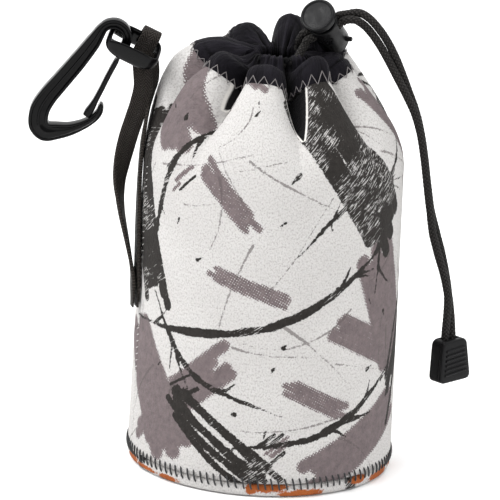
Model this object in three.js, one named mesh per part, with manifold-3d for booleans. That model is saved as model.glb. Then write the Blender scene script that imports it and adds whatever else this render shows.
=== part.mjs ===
// Drawstring lens pouch: a soft padded tube with a gathered fabric collar, a spring cord lock,
// a clamshell cord end and a webbing loop that carries a snap hook on an oval ring.
// Millimetres, +Z up. The origin is the centre of the base's underside and the front faces -Y.
import * as THREE from "three";
import { mergeVertices } from "three/addons/utils/BufferGeometryUtils.js";
import Module from "manifold-3d";

const wasm = await Module();
wasm.setup();

// Driving sizes
const pouchRadius = 47.2;
const wallThickness = 3.8;
const baseThickness = 4.8;
const baseFootInset = 3.4;
const shoulderStart = 112;
const shoulderRadius = 46.4;
const shoulderRise = 35.5;
const neckCrestHeight = shoulderStart + shoulderRise;
const neckCrestRadius = 28.5;
const neckValleyDrop = 10.5;
const neckValleyHeight = neckCrestHeight - neckValleyDrop;
const neckValleyRadius = 15;
const collarThickness = 2.4;
const collarPuff = 5.4;
const pleatRise = 10;
const hemCover = 1.05;
const cordDiameter = 2.9;
const mouthRingRadius = 9.9;
const mouthRise = 2;
const mouthRingHeight = neckCrestHeight + mouthRise;
const strandGap = 0.3;
const tailGap = 0.15;
const drawstringSteps = 56;
const tailStepsPerPoint = 2;
const tailBlendPoints = 4;
const clearance = 0.3;
const overrun = 4;
const cutTolerance = 0.01;

// The pleats: where each valley lies, in degrees round from the front towards the right, and
// how far the lobe that follows it reaches out, rises, bulges and puffs up
const lobes = [
  { valley: -38, reachShare: 1, riseShare: -0.03, bulge: 0.3, puffShare: 1 },
  { valley: 13, reachShare: 0.98, riseShare: 0.02, bulge: 0, puffShare: 2.1 },
  { valley: 55, reachShare: 0.92, riseShare: -0.02, bulge: 0, puffShare: 1 },
  { valley: 102, reachShare: 0.94, riseShare: 0.27, bulge: 0, puffShare: 1.8 },
  { valley: 146, reachShare: 0.98, riseShare: 0.53, bulge: 0.5, puffShare: 1.9 },
  { valley: 188, reachShare: 1.02, riseShare: 0.38, bulge: 1, puffShare: 1.3 },
  { valley: 235, reachShare: 1.1, riseShare: 0.36, bulge: 1, puffShare: 1 },
  { valley: 283, reachShare: 1.04, riseShare: 0.12, bulge: 0.8, puffShare: 1 },
];
const columnsPerLobe = 8;
const lobeFullness = 1.6;

// Meridians of the shoulder and the collar as shares of their spans
const shoulderCrestShares = [
  [0, 0], [0.05, 0.18], [0.2, 0.4], [0.4, 0.58], [0.6, 0.73], [0.81, 0.88], [1, 1],
];
const shoulderBulgeShares = [
  [0, 0], [0.03, 0.18], [0.1, 0.38], [0.2, 0.56], [0.34, 0.72], [0.58, 0.88], [1, 1],
];
const shoulderValleyShares = [
  [0, 0], [0.06, 0.24], [0.18, 0.48], [0.36, 0.68], [0.56, 0.82], [0.78, 0.92], [1, 1],
];
const collarCrestShares = [[0, 0], [0.1, 0.4], [0.3, 0.8], [0.54, 1], [0.8, 0.72], [1, 0]];
const collarValleyShares = [[0, 0], [0.25, 0.16], [0.52, 0.36], [0.76, 0.62], [0.92, 0.86], [1, 1]];
const wallLevelShares = [0, 0.33, 0.67, 1];
const baseRimShares = [[0.36, 0.12], [0.12, 0.42], [0, 0.75], [0.1, 1]];
const roundSegments = 56;
const barrelSegments = 28;
const hemStartShare = 0.75;
const hemCapTurns = [45, 90, 135];
const collarStationShares = [0.2, 0.4, 0.6, 0.8, 1];
const lookShare = 0.02;
const lookAngle = 0.8;
const slantLimit = 1.5;

// Cord lock: its barrel stands on lockBottom, leaning to the front and left
const lockAside = 19.3;
const lockBehind = 5.2;
const lockSeat = 5.5;
const lockBottom = new THREE.Vector3(lockAside, lockBehind, mouthRingHeight + lockSeat);
const lockLean = 49.5;
const lockYaw = 22.5;
const lockRoll = 22;
const lockTip = -3;
const lockRadius = 5.4;
const lockHeight = 15.4;
const lockWall = 1.1;
const lockFloor = 1.4;
const lockEdge = 1;
const lockBoreHeight = 11.4;
const lockTravel = 1.5;
const channelRoom = 0.5;
const lugTurn = -35;
const lugHeight = 2.6;
const lugReach = 2;
const lugRadius = 1;
const lugTipRadius = 0.7;
const lugSegments = 10;
const edgeShare = 0.3;
const buttonRadius = 6.4;
const buttonThickness = 2.6;
const buttonCrown = 0.5;
const buttonEdge = 0.6;
const buttonTravel = 3;
const springWire = 0.5;
const springRadius = 3.1;
const springHeight = 3.4;
const springTurns = 4;

// Drawstring: where each strand runs between the mouth's ring and the lock, and its free tail
const lockEntry = 6;
const lockLead = 8;
const ringEntryAngles = { first: 0, last: -180 };
const ringSteps = 8;
const frontLead = [[8.89, -4.4, 155.88], [7.6, -5.8, 153.81], [6.31, -7.6, 151.64], [3.89, -9.2, 150.01]];
const backLead = [
  [7.59, -0.9, 157.81], [6.69, 0.7, 155.77], [6.91, 3.2, 153.47], [6.62, 6, 151.46], [4.49, 8.8, 150.04],
];
const tailRoute = [
  [26.6, -2.7, 166.6], [29.9, -2.6, 165], [33.3, -2.8, 161.7], [36.4, -3, 157.6],
  [39.5, -3.2, 152.5], [42.7, -3.2, 146.3], [46, -3.1, 139.5], [49.1, -3, 132.7],
  [51.5, -2.8, 124.9], [53.3, -2.5, 116], [54.9, -2.3, 106], [56.6, -2, 96.1],
  [58.4, -1.7, 88.2], [60.6, -1.5, 80.8], [62.9, -1.3, 72.9], [64.6, -1.2, 65],
  [65.3, -1.1, 57.5], [65.6, -1, 50], [65.9, -1, 45],
];
const tailTwist = [0, 0, 5, 14, 30, 50, 72, 84, 90, 90, 90, 88, 68, 66, 80, 88, 66, 41, 41];

// Cord end: a clamshell hung on the tail, open at its top
const endTop = new THREE.Vector3(65.69, -1, 48.71);
const endTurn = 41;
const endTip = -3;
const endHeight = 15.5;
const endTopWidth = 11;
const endBottomWidth = 14.4;
const endBodyDepth = 4.9;
const endCoverDepth = 1.9;
const endBack = 1.4;
const endWall = 1.6;
const endCorner = 2.2;
const endNeck = 3.4;
const ribCount = 6;
const ribHeight = 0.5;
const ribWidth = 0.9;
const ribPitch = 1.75;
const ribLength = 8;

// Webbing loop: the strap's middle, out from the wall, to the back and up from the shoulder's
// start, and how its width turns and dips
const strapWidth = 6.8;
const strapThickness = 1.4;
const strapOuter = [
  [1.11, -12.36, -54, 101, 0], [1.14, -12.07, -48.35, 100, 0], [1.48, -11.35, -42.72, 97, -0.1],
  [2.51, -10.57, -37.5, 94, -0.21], [3.89, -9.62, -31.91, 91, -0.31], [5.36, -8.55, -26.32, 87, -0.42],
  [6.71, -7.58, -20.83, 82, -0.62], [7.64, -6.66, -15.23, 74, -0.93], [8.11, -5.96, -9.6, 64, -1.36],
  [7.73, -5.61, -4.03, 51, -1.89], [6.84, -5.3, 1.77, 44, -2.16], [5.55, -5.4, 7.84, 36, -2.43],
  [3.87, -5.2, 13.94, 24, -2.74], [2.28, -4.8, 19.93, 12, 1.07], [1.46, -3.8, 25.18, 6, 7.02],
  [1.95, -2.6, 30.66, 4, 12.01],
];
const strapInner = [
  [-0.13, 4.4, 33.17, 16, 9.12], [-1.29, 2.6, 28.23, 45, 1.88], [-1.45, 0, 23.23, 72, -0.93],
  [-0.76, -2, 17.28, 86, -0.21], [0, -3, 10.74, 90, 0], [0.67, -3.3, 3.69, 94, 0],
  [1.01, -3.7, -6.72, 94, 0], [0.74, -6.27, -20.91, 98, 0], [0.07, -10.08, -36.98, 102, 0],
  [-0.31, -11.58, -45.49, 104, 0], [-0.49, -12.17, -54, 105, 0],
];
const strapFoldAlong = 3.2;
const strapSlack = 0.7;
const strapLeaning = 1.2;
const strapFoldDip = 14;
const strapFoldTurns = [0, 45, 90, 135, 180];
const strapStepsPerPoint = 2;

// Oval ring: hung on the strap's fold by its back wall, and through the hook by its left end
const ringOut = 12.75;
const ringForward = 4;
const ringLift = 42.91;
const ringPivot = new THREE.Vector3(
  -shoulderRadius - ringOut, -ringForward, shoulderStart + ringLift,
);
const ringDip = 24;
const ringTilt = 22;
const ringLength = 20;
const ringSlack = 1.3;
const ringDepth = 13;
const ringWall = 1.7;
const ringHeight = 7;
const ringEndHeight = 3.7;
const ringStations = 36;
const ringSquareness = 0.42;

// Snap hook: its middle line in shares of its length, right towards the gate and down
const hookDip = 33.3;
const hookLength = 41.4;
const hookDepth = 5;
const hookLegDepth = 4;
const hookGroove = 0.9;
const hookRim = 1.1;
const hookArch = 4.95;
const hookLegReach = 4.6;
const hookLineShares = [
  [-0.114, 0.14, 0.125], [-0.12, 0.36, 0.143], [-0.135, 0.6, 0.15], [-0.145, 0.77, 0.155],
  [-0.13, 0.89, 0.158], [-0.063, 0.98, 0.158], [0.039, 1.003, 0.155], [0.135, 0.947, 0.145],
  [0.208, 0.85, 0.13], [0.252, 0.745, 0.116], [0.264, 0.66, 0.108], [0.256, 0.585, 0.09],
];
const hookArchTurns = [8, 40, 75, 110, 145, 172];
const hookArchWidth = 3.4;
const hookStepsPerPoint = 3;
const gateThickness = 1.9;
const gateDepth = 4;
const gateRoot = 5;
const gateInset = 0.99;
const cornerSteps = 5;
const knotSegments = 12;
const knotRings = 8;
const lobeSegments = 8;
const lobeRings = 6;
const gateReachShare = 0.686;
const gateBow = 0.3;
const gateTipShare = 0.1556;
const gateLineShares = [
  [0, 1], [0.2, 1], [0.45, 1], [0.7, 1], [0.82, 1.05], [0.88, 1.3], [0.94, 1.5], [0.98, 1.3], [1, 0.8],
];

const upright = new THREE.Vector3(0, 0, 1);
const toRadians = THREE.MathUtils.degToRad;
const { lerp } = THREE.MathUtils;

// A closed solid from rings of points with equal counts: round tubes in one or two directions
function loft(rings, closed, capOrder) {
  const count = rings[0].length;
  const positions = rings.flat().flatMap((point) => [point.x, point.y, point.z]);
  const faces = [];
  const spans = closed ? rings.length : rings.length - 1;
  for (let i = 0; i < spans; i++) {
    const near = i * count;
    const far = ((i + 1) % rings.length) * count;
    for (let k = 0; k < count; k++) {
      const next = (k + 1) % count;
      faces.push(near + k, near + next, far + next, near + k, far + next, far + k);
    }
  }
  if (!closed) {
    const last = (rings.length - 1) * count;
    for (const [a, b, c] of capOrder) {
      faces.push(a, c, b, last + a, last + b, last + c);
    }
  }
  const geometry = new THREE.BufferGeometry();
  geometry.setAttribute("position", new THREE.Float32BufferAttribute(positions, 3));
  geometry.setIndex(faces);
  return outward(geometry);
}

// Turns every face of a closed geometry round when its volume comes out negative
function outward(geometry) {
  const place = geometry.attributes.position;
  const index = geometry.index.array;
  const [a, b, c] = [new THREE.Vector3(), new THREE.Vector3(), new THREE.Vector3()];
  let volume = 0;
  for (let i = 0; i < index.length; i += 3) {
    a.fromBufferAttribute(place, index[i]);
    b.fromBufferAttribute(place, index[i + 1]);
    c.fromBufferAttribute(place, index[i + 2]);
    volume += a.dot(b.cross(c));
  }
  if (volume < 0) {
    for (let i = 0; i < index.length; i += 3) {
      [index[i + 1], index[i + 2]] = [index[i + 2], index[i + 1]];
    }
  }
  return geometry;
}

// The triangles that close a flat section given as 2-D points
function capOf(section) {
  return THREE.ShapeUtils.triangulateShape(section, []);
}

// A section swept along points; side gives the direction of the section's x at each point
function sweep(points, sides, sectionAt, closed = false) {
  const rings = points.map((point, i) => {
    const before = points[closed ? (i + points.length - 1) % points.length : Math.max(i - 1, 0)];
    const after = points[closed ? (i + 1) % points.length : Math.min(i + 1, points.length - 1)];
    const along = after.clone().sub(before).normalize();
    const side = sides(i).clone().addScaledVector(along, -sides(i).dot(along)).normalize();
    const rise = along.clone().cross(side);
    return sectionAt(i).map((p) => (
      point.clone().addScaledVector(side, p.x).addScaledVector(rise, p.y)
    ));
  });
  return loft(rings, closed, closed ? [] : capOf(sectionAt(0)));
}

function circleSection(radius, sides) {
  return Array.from({ length: sides }, (_, k) => {
    const turn = (k / sides) * Math.PI * 2;
    return new THREE.Vector2(Math.cos(turn), Math.sin(turn)).multiplyScalar(radius);
  });
}

function boxSection(width, height) {
  const [x, y] = [width / 2, height / 2];
  return [[-x, -y], [x, -y], [x, y], [-x, y]].map(([u, v]) => new THREE.Vector2(u, v));
}

// a way that no cord runs along, to start each cord's section from
const slantedWay = new THREE.Vector3(0.31, 0.47, 0.83);

// A round cord along points
function cord(points, diameter, sides = 8) {
  const section = circleSection(diameter / 2, sides);
  let side = points[1].clone().sub(points[0]).cross(slantedWay);
  const carried = points.map((point, i) => {
    const along = points[Math.min(i + 1, points.length - 1)].clone()
      .sub(points[Math.max(i - 1, 0)]).normalize();
    side = side.clone().addScaledVector(along, -side.dot(along)).normalize();
    return side;
  });
  return sweep(points, (i) => carried[i], () => section);
}

// Manifold solids and back
function solid(geometry) {
  const bare = geometry.clone();
  for (const name of Object.keys(bare.attributes)) {
    if (name !== "position") bare.deleteAttribute(name);
  }
  const merged = mergeVertices(bare, 1e-5);
  return new wasm.Manifold(new wasm.Mesh({
    numProp: 3,
    vertProperties: new Float32Array(merged.attributes.position.array),
    triVerts: new Uint32Array(merged.index.array),
  }));
}

function geometryOf(body) {
  const mesh = body.getMesh();
  const geometry = new THREE.BufferGeometry();
  geometry.setAttribute("position", new THREE.Float32BufferAttribute(mesh.vertProperties, 3));
  geometry.setIndex(Array.from(mesh.triVerts));
  return geometry;
}

// The main body of a geometry with the tools cut out, without any slivers that a cut leaves
function cut(geometry, ...tools) {
  const left = tools.reduce((body, tool) => body.subtract(solid(tool)), solid(geometry));
  const bodies = left.simplify(cutTolerance).decompose();
  return geometryOf(bodies.sort((a, b) => b.volume() - a.volume())[0]);
}

function join(geometry, ...others) {
  return geometryOf(others.reduce((body, other) => body.add(solid(other)), solid(geometry)));
}

// A lathe solid whose axis is Z
function turned(profile, segments) {
  const points = profile.map(([r, z]) => new THREE.Vector2(r, z));
  return new THREE.LatheGeometry(points, segments).rotateX(Math.PI / 2);
}

// The pouch: a point at a radius and an angle from the front towards the right
function onPouch(radius, angle, height) {
  const turn = toRadians(angle);
  return new THREE.Vector3(
    radius * Math.sin(turn),
    -radius * Math.cos(turn),
    height,
  );
}

function lobeAt(angle) {
  const from = lobes[0].valley;
  const turned360 = ((((angle - from) % 360) + 360) % 360) + from;
  const index = lobes.findLastIndex((lobe) => lobe.valley <= turned360);
  const lobe = lobes[index];
  const next = index + 1 < lobes.length ? lobes[index + 1].valley : from + 360;
  const share = (turned360 - lobe.valley) / (next - lobe.valley);
  return { ...lobe, share, weight: 1 - (1 - Math.sin(Math.PI * share)) ** lobeFullness };
}

const angles = lobes.flatMap((lobe, index) => {
  const next = index + 1 < lobes.length ? lobes[index + 1].valley : lobes[0].valley + 360;
  return Array.from({ length: columnsPerLobe }, (_, k) => (
    lobe.valley + ((next - lobe.valley) * k) / columnsPerLobe
  ));
});

function profileCurve(shares) {
  return new THREE.SplineCurve(shares.map(([r, z]) => new THREE.Vector2(r, z)));
}

const shoulderCrest = profileCurve(shoulderCrestShares);
const shoulderBulge = profileCurve(shoulderBulgeShares);
const shoulderValley = profileCurve(shoulderValleyShares);
const collarCrest = profileCurve(collarCrestShares);
const collarValley = profileCurve(collarValleyShares);

// Radius and height of the neoprene's outer face: share 0 at the shoulder's start, 1 at the
// neck's edge
function shoulderAt(angle, share) {
  const lobe = lobeAt(angle);
  const crest = shoulderCrest.getPoint(share).lerp(shoulderBulge.getPoint(share), lobe.bulge);
  const valley = shoulderValley.getPoint(share);
  const crestHeight = neckCrestHeight + pleatRise * lobe.riseShare * lobe.weight;
  return new THREE.Vector2(
    lerp(
      lerp(shoulderRadius, neckValleyRadius, valley.x),
      lerp(shoulderRadius, neckCrestRadius * lobe.reachShare, crest.x),
      lobe.weight,
    ),
    lerp(
      lerp(shoulderStart, neckValleyHeight, valley.y),
      lerp(shoulderStart, crestHeight, crest.y),
      lobe.weight,
    ),
  );
}

// Radius and height of the collar's outer face: share 0 at the neck's edge, 1 on the
// drawstring's ring
function collarAt(angle, share) {
  const lobe = lobeAt(angle);
  const crest = collarCrest.getPoint(share);
  const valley = collarValley.getPoint(share);
  const crestHeight = neckCrestHeight + pleatRise * lobe.riseShare * lobe.weight;
  return new THREE.Vector2(
    lerp(
      lerp(neckValleyRadius, mouthRingRadius, valley.x),
      lerp(neckCrestRadius * lobe.reachShare, mouthRingRadius, crest.x),
      lobe.weight,
    ),
    lerp(
      lerp(neckValleyHeight, mouthRingHeight, valley.y),
      lerp(crestHeight, mouthRingHeight, share) + collarPuff * lobe.puffShare * crest.y,
      lobe.weight,
    ),
  );
}

// The way on along a section, from outside up and over to the mouth
function onwardOf(surface, angle, share) {
  const low = Math.max(share - lookShare, 0);
  const high = Math.min(share + lookShare, 1);
  return surface(angle, high).sub(surface(angle, low)).normalize();
}

// The outward normal of a section: its onward way turned a quarter
function normalOf(surface, angle, share) {
  const onward = onwardOf(surface, angle, share);
  return new THREE.Vector2(onward.y, -onward.x);
}

// How much thicker fabric looks when a section cuts it aslant on a pleat's flank
function slantOf(surface, angle, share) {
  const side = surface(angle + lookAngle, share).sub(surface(angle - lookAngle, share));
  const width = 2 * toRadians(lookAngle) * surface(angle, share).x;
  const steep = side.dot(normalOf(surface, angle, share)) / width;
  return Math.min(Math.hypot(1, steep), slantLimit);
}

function basePanel() {
  const foot = pouchRadius - baseFootInset;
  const rim = pouchRadius - clearance;
  return turned([
    [0, 0],
    [foot, 0],
    ...baseRimShares.map(([inset, rise]) => [rim - baseFootInset * inset, baseThickness * rise]),
    [0, baseThickness],
  ], roundSegments);
}

// The tube's outer radius at a height, narrowing from the base to where the shoulder starts
function wallRadiusAt(height) {
  const start = baseThickness + clearance;
  const share = (height - start) / (shoulderStart - start);
  return lerp(pouchRadius, shoulderRadius, Math.min(share, 1));
}

function sideWall() {
  const bottom = baseThickness + clearance;
  const bands = shoulderCrestShares.length - 1;
  const rings = angles.map((angle) => {
    const outer = [];
    const inner = [];
    for (const share of wallLevelShares) {
      const height = lerp(bottom, shoulderStart, share);
      const radius = wallRadiusAt(height);
      outer.push(onPouch(radius, angle, height));
      inner.push(onPouch(radius - wallThickness, angle, height));
    }
    for (let k = 1; k <= bands; k++) {
      const face = shoulderAt(angle, k / bands);
      const depth = wallThickness * slantOf(shoulderAt, angle, k / bands);
      const back = face.clone().addScaledVector(normalOf(shoulderAt, angle, k / bands), -depth);
      outer.push(onPouch(face.x, angle, face.y));
      inner.push(onPouch(back.x, angle, back.y));
    }
    return [...outer, ...inner.reverse()];
  });
  return loft(rings, true);
}

// The collar's fabric starts a clearance past the neck's edge, flush with the neoprene's outer
// face, and thickens into the hem that goes round the drawstring
function collarBody() {
  const hemRadius = cordDiameter / 2 + clearance + hemCover;
  const rings = angles.map((angle) => {
    const outer = [];
    const inner = [];
    const place = (list, from, normal, distance) => {
      const point = from.clone().addScaledVector(normal, distance);
      list.push(onPouch(point.x, angle, point.y));
    };
    const edgeNormal = normalOf(shoulderAt, angle, 1);
    const edge = shoulderAt(angle, 1)
      .addScaledVector(onwardOf(shoulderAt, angle, 1), clearance);
    place(outer, edge, edgeNormal, 0);
    place(inner, edge, edgeNormal, -collarThickness);
    for (const share of collarStationShares) {
      const face = collarAt(angle, share);
      const normal = normalOf(collarAt, angle, share);
      const swell = Math.max(0, (share - hemStartShare) / (1 - hemStartShare));
      place(outer, face, normal, lerp(0, hemRadius, swell));
      place(inner, face, normal, -lerp(collarThickness, hemRadius, swell));
    }
    const centre = collarAt(angle, 1);
    const normal = normalOf(collarAt, angle, 1);
    const onward = onwardOf(collarAt, angle, 1);
    const cap = hemCapTurns.map((turn) => {
      const point = centre.clone()
        .addScaledVector(normal, Math.cos(toRadians(turn)) * hemRadius)
        .addScaledVector(onward, Math.sin(toRadians(turn)) * hemRadius);
      return onPouch(point.x, angle, point.y);
    });
    return [...outer, ...cap, ...inner.reverse()];
  });
  return loft(rings, true);
}

// The cord lock's own axes: x along its bore, z up its barrel
const lockUp = upright.clone()
  .applyAxisAngle(new THREE.Vector3(1, 0, 0), toRadians(lockLean))
  .applyAxisAngle(upright, -toRadians(lockYaw));
const boreWay = new THREE.Vector3(1, 0, 0)
  .addScaledVector(lockUp, -lockUp.x).normalize()
  .applyAxisAngle(lockUp, toRadians(lockRoll));
for (const way of [lockUp, boreWay]) way.applyAxisAngle(new THREE.Vector3(0, 1, 0), toRadians(lockTip));
const boreAcross = lockUp.clone().cross(boreWay);
const boreCentre = lockBottom.clone().addScaledVector(lockUp, lockBoreHeight);
const strandOffset = (cordDiameter + strandGap) / 2;
const boreWidth = 2 * cordDiameter + strandGap + 2 * clearance;
const boreHeight = cordDiameter + 2 * clearance;
const plungerRadius = lockRadius - lockWall - clearance;

function inLock(geometry) {
  const frame = new THREE.Matrix4().makeBasis(boreWay, boreAcross, lockUp).setPosition(lockBottom);
  return geometry.applyMatrix4(frame);
}

function block(x0, x1, y0, y1, z0, z1) {
  return new THREE.BoxGeometry(x1 - x0, y1 - y0, z1 - z0)
    .translate((x0 + x1) / 2, (y0 + y1) / 2, (z0 + z1) / 2);
}

function lockBarrel() {
  const bore = lockRadius - lockWall;
  const shell = turned([
    [0, 0],
    [lockRadius - lockEdge, 0],
    [lockRadius - lockEdge * edgeShare, lockEdge * edgeShare],
    [lockRadius, lockEdge],
    [lockRadius, lockHeight - lockEdge / 2],
    [lockRadius - lockEdge / 2, lockHeight],
    [bore, lockHeight],
    [bore, lockFloor],
    [0, lockFloor],
  ], barrelSegments);
  const lug = new THREE.CylinderGeometry(lugTipRadius, lugRadius, lugReach + lockWall, lugSegments)
    .rotateZ(-Math.PI / 2)
    .translate(lockRadius + (lugReach - lockWall) / 2, 0, lugHeight)
    .rotateZ(toRadians(lugTurn));
  const slot = block(
    -lockRadius - overrun, lockRadius + overrun,
    -boreWidth / 2, boreWidth / 2,
    lockBoreHeight - boreHeight / 2, lockBoreHeight + boreHeight / 2,
  );
  return inLock(cut(join(shell, lug), slot));
}

function lockPlunger() {
  const seat = lockHeight + clearance + buttonTravel;
  const foot = lockFloor + clearance + springHeight + clearance;
  const top = seat + buttonThickness;
  const body = turned([
    [0, foot],
    [plungerRadius - clearance, foot],
    [plungerRadius, foot + clearance],
    [plungerRadius, seat],
    [buttonRadius - buttonEdge, seat],
    [buttonRadius, seat + buttonEdge],
    [buttonRadius, top - buttonCrown - buttonEdge],
    [buttonRadius - buttonEdge, top - buttonCrown],
    [buttonRadius - 2 * buttonEdge, top - buttonCrown],
    [buttonRadius / 2, top - buttonCrown / 4],
    [0, top],
  ], 32);
  const slot = block(
    -buttonRadius - overrun, buttonRadius + overrun,
    -boreWidth / 2, boreWidth / 2,
    lockBoreHeight - boreHeight / 2, lockBoreHeight + boreHeight / 2 + buttonTravel,
  );
  return inLock(cut(body, slot));
}

function lockSpring() {
  const steps = springTurns * 8;
  const low = lockFloor + clearance + springWire / 2;
  const points = Array.from({ length: steps + 1 }, (_, k) => {
    const turn = (k / steps) * springTurns * Math.PI * 2;
    return new THREE.Vector3(
      springRadius * Math.cos(turn),
      springRadius * Math.sin(turn),
      low + ((springHeight - springWire) * k) / steps,
    );
  });
  return inLock(cord(points, springWire, 5));
}

// A point in the bore's line, along it and towards the strand on the given side
function onBore(along, side) {
  return boreCentre.clone()
    .addScaledVector(boreWay, along)
    .addScaledVector(boreAcross, side * strandOffset);
}

const toVector = ([x, y, z]) => new THREE.Vector3(x, y, z);
const tailStart = lockRadius + buttonTravel / 4;

// Points along a smooth curve, close together
function smooth(points, steps) {
  return new THREE.CatmullRomCurve3(points, false, "centripetal").getPoints(steps);
}

// The drawstring that the pouch holds: from the lock's far side through its bore, round the
// mouth and back out beside itself, as two halves that meet at the mouth's left
function strandHalves() {
  const ring = (from, to) => Array.from({ length: ringSteps / 2 + 1 }, (_, k) => (
    onPouch(mouthRingRadius, lerp(from, to, (2 * k) / ringSteps), mouthRingHeight)
  ));
  const { first, last } = ringEntryAngles;
  const middle = (first + last) / 2;
  const front = [
    onBore(tailStart - clearance, -1), onBore(0, -1), onBore(-lockEntry, -1), onBore(-lockLead, -1),
    ...frontLead.map(toVector), ...ring(first, middle),
  ];
  const back = [
    onBore(tailStart - clearance, 1), onBore(0, 1), onBore(-lockEntry, 1), onBore(-lockLead, 1),
    ...backLead.map(toVector), ...ring(last, middle),
  ];
  return [front, back];
}

function drawstringLoop() {
  const [front, back] = strandHalves();
  return cord(smooth([...front, ...back.slice(0, -1).reverse()], drawstringSteps), cordDiameter);
}

// Clears the drawstring's channel, its way out through the hem and the lock's seat
function clearDrawstring(body) {
  const [front, back] = strandHalves();
  const channels = [[...front, back.at(-2)], [...back, front.at(-2)]].map((points) => (
    cord(smooth(points.slice(2), drawstringSteps / 2), cordDiameter + 2 * channelRoom)
  ));
  const seat = lockRadius + clearance;
  const room = [[0, -clearance], [seat, -clearance], [seat, lockHeight], [0, lockHeight]];
  const lock = inLock(turned(room, barrelSegments));
  const inward = boreWay.clone().multiplyScalar(-lockTravel);
  const slid = lock.clone().translate(inward.x, inward.y, inward.z);
  const swept = wasm.Manifold.hull([solid(lock), solid(slid)]);
  return cut(body, ...channels, geometryOf(swept));
}

// The free tail's two strands turn round each other
function drawstringTail(side) {
  const middle = [onBore(tailStart, 0), onBore(tailStart + buttonTravel / 2, 0)];
  middle.push(...tailRoute.map(toVector));
  const curve = new THREE.CatmullRomCurve3(middle, false, "centripetal");
  const twists = [0, 0, ...tailTwist];
  const spans = middle.length - 1;
  const count = spans * tailStepsPerPoint;
  const points = Array.from({ length: count + 1 }, (_, k) => {
    const share = k / count;
    const span = Math.min(Math.floor(share * spans), spans - 1);
    const twist = toRadians(lerp(twists[span], twists[span + 1], share * spans - span));
    const along = curve.getTangent(share);
    const level = k <= tailStepsPerPoint ? boreAcross : new THREE.Vector3(0, 1, 0);
    const depth = new THREE.Vector3(0, 1, 0).addScaledVector(along, -along.y).normalize();
    const flat = along.clone().cross(depth);
    const start = Math.max(0, 1 - share * spans / tailBlendPoints);
    const way = flat.multiplyScalar(Math.cos(twist)).addScaledVector(depth, Math.sin(twist));
    way.lerp(level, start * start * (3 - 2 * start));
    way.addScaledVector(along, -way.dot(along)).normalize();
    const apart = lerp((cordDiameter + tailGap) / 2, strandOffset, start);
    return curve.getPoint(share).addScaledVector(way, side * apart);
  });
  return cord(points, cordDiameter);
}

// The cord end's own axes: x across its face, y to its back, z up, origin between the strands
function inCordEnd(geometry) {
  return geometry.rotateZ(toRadians(endTurn)).rotateY(toRadians(endTip))
    .translate(endTop.x, endTop.y, endTop.z);
}

const pocketDepth = endBodyDepth - endBack;
const partingPlane = -pocketDepth / 2;

function endOutline(inset = 0) {
  const top = endTopWidth / 2 - inset;
  const bottom = endBottomWidth / 2 - inset;
  const low = -endHeight + inset;
  const corner = endCorner;
  const slope = (bottom - top) / endHeight;
  const shape = new THREE.Shape();
  shape.moveTo(-top + corner, -inset);
  shape.lineTo(top - corner, -inset);
  shape.quadraticCurveTo(top, -inset, top + slope * corner, -inset - corner);
  shape.lineTo(bottom - slope * corner, low + corner);
  shape.quadraticCurveTo(bottom, low, bottom - corner, low);
  shape.lineTo(-bottom + corner, low);
  shape.quadraticCurveTo(-bottom, low, -bottom + slope * corner, low + corner);
  shape.lineTo(-top - slope * corner, -inset - corner);
  shape.quadraticCurveTo(-top, -inset, -top + corner, -inset);
  return shape;
}

function standing(shape, front, back) {
  const depth = back - front;
  return new THREE.ExtrudeGeometry(shape, { depth, bevelEnabled: false, curveSegments: cornerSteps })
    .rotateX(Math.PI / 2)
    .translate(0, back, 0);
}

function cordEndBody() {
  const shell = standing(endOutline(), partingPlane, partingPlane + endBodyDepth);
  const halfPocket = endTopWidth / 2 - endWall + clearance;
  const pocket = block(
    -halfPocket, halfPocket,
    partingPlane - overrun, partingPlane + pocketDepth,
    -endHeight + endWall + clearance, -endNeck,
  );
  const mouth = block(
    -boreWidth / 2, boreWidth / 2,
    partingPlane - overrun, partingPlane + pocketDepth,
    -endNeck - clearance, overrun,
  );
  return inCordEnd(cut(shell, pocket, mouth));
}

function cordEndCover() {
  const back = partingPlane - clearance;
  const front = back - endCoverDepth;
  const plate = standing(endOutline(), front, back);
  const ribs = Array.from({ length: ribCount }, (_, k) => {
    const height = -endHeight / 2 + (k - (ribCount - 1) / 2) * -ribPitch;
    return block(
      -ribLength / 2, ribLength / 2,
      front - ribHeight, front + ribHeight,
      height - ribWidth / 2, height + ribWidth / 2,
    );
  });
  return inCordEnd(join(plate, ...ribs));
}

// The knot that keeps both strands in the cord end's pocket
function strandKnot() {
  const high = tailRoute.at(-1)[2] - endTop.z - clearance;
  const low = -endHeight + endWall + 2 * clearance;
  const half = (high - low) / 2;
  const knot = new THREE.SphereGeometry(1, knotSegments, knotRings)
    .scale(endTopWidth / 2 - endWall - clearance, pocketDepth / 2 - clearance, half);
  const lobe = (side) => new THREE.SphereGeometry(1, lobeSegments, lobeRings)
    .scale(cordDiameter / 2, pocketDepth / 2 - clearance, cordDiameter / 2)
    .translate(side * strandOffset, 0, half - cordDiameter / 2);
  return inCordEnd(join(knot, lobe(-1), lobe(1)).translate(0, 0, (high + low) / 2));
}

// The ring's own axes: x along it, y from its front wall to its back wall
const ringAlong = new THREE.Vector3(1, 0, 0).applyAxisAngle(new THREE.Vector3(0, 1, 0), toRadians(ringDip));
const ringBack = new THREE.Vector3(0, 1, 0).applyAxisAngle(ringAlong, toRadians(ringTilt));
const ringUp = ringAlong.clone().cross(ringBack);
const ringCentre = ringPivot.clone()
  .addScaledVector(ringAlong, (ringLength - ringWall) / 2 - ringSlack);

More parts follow.
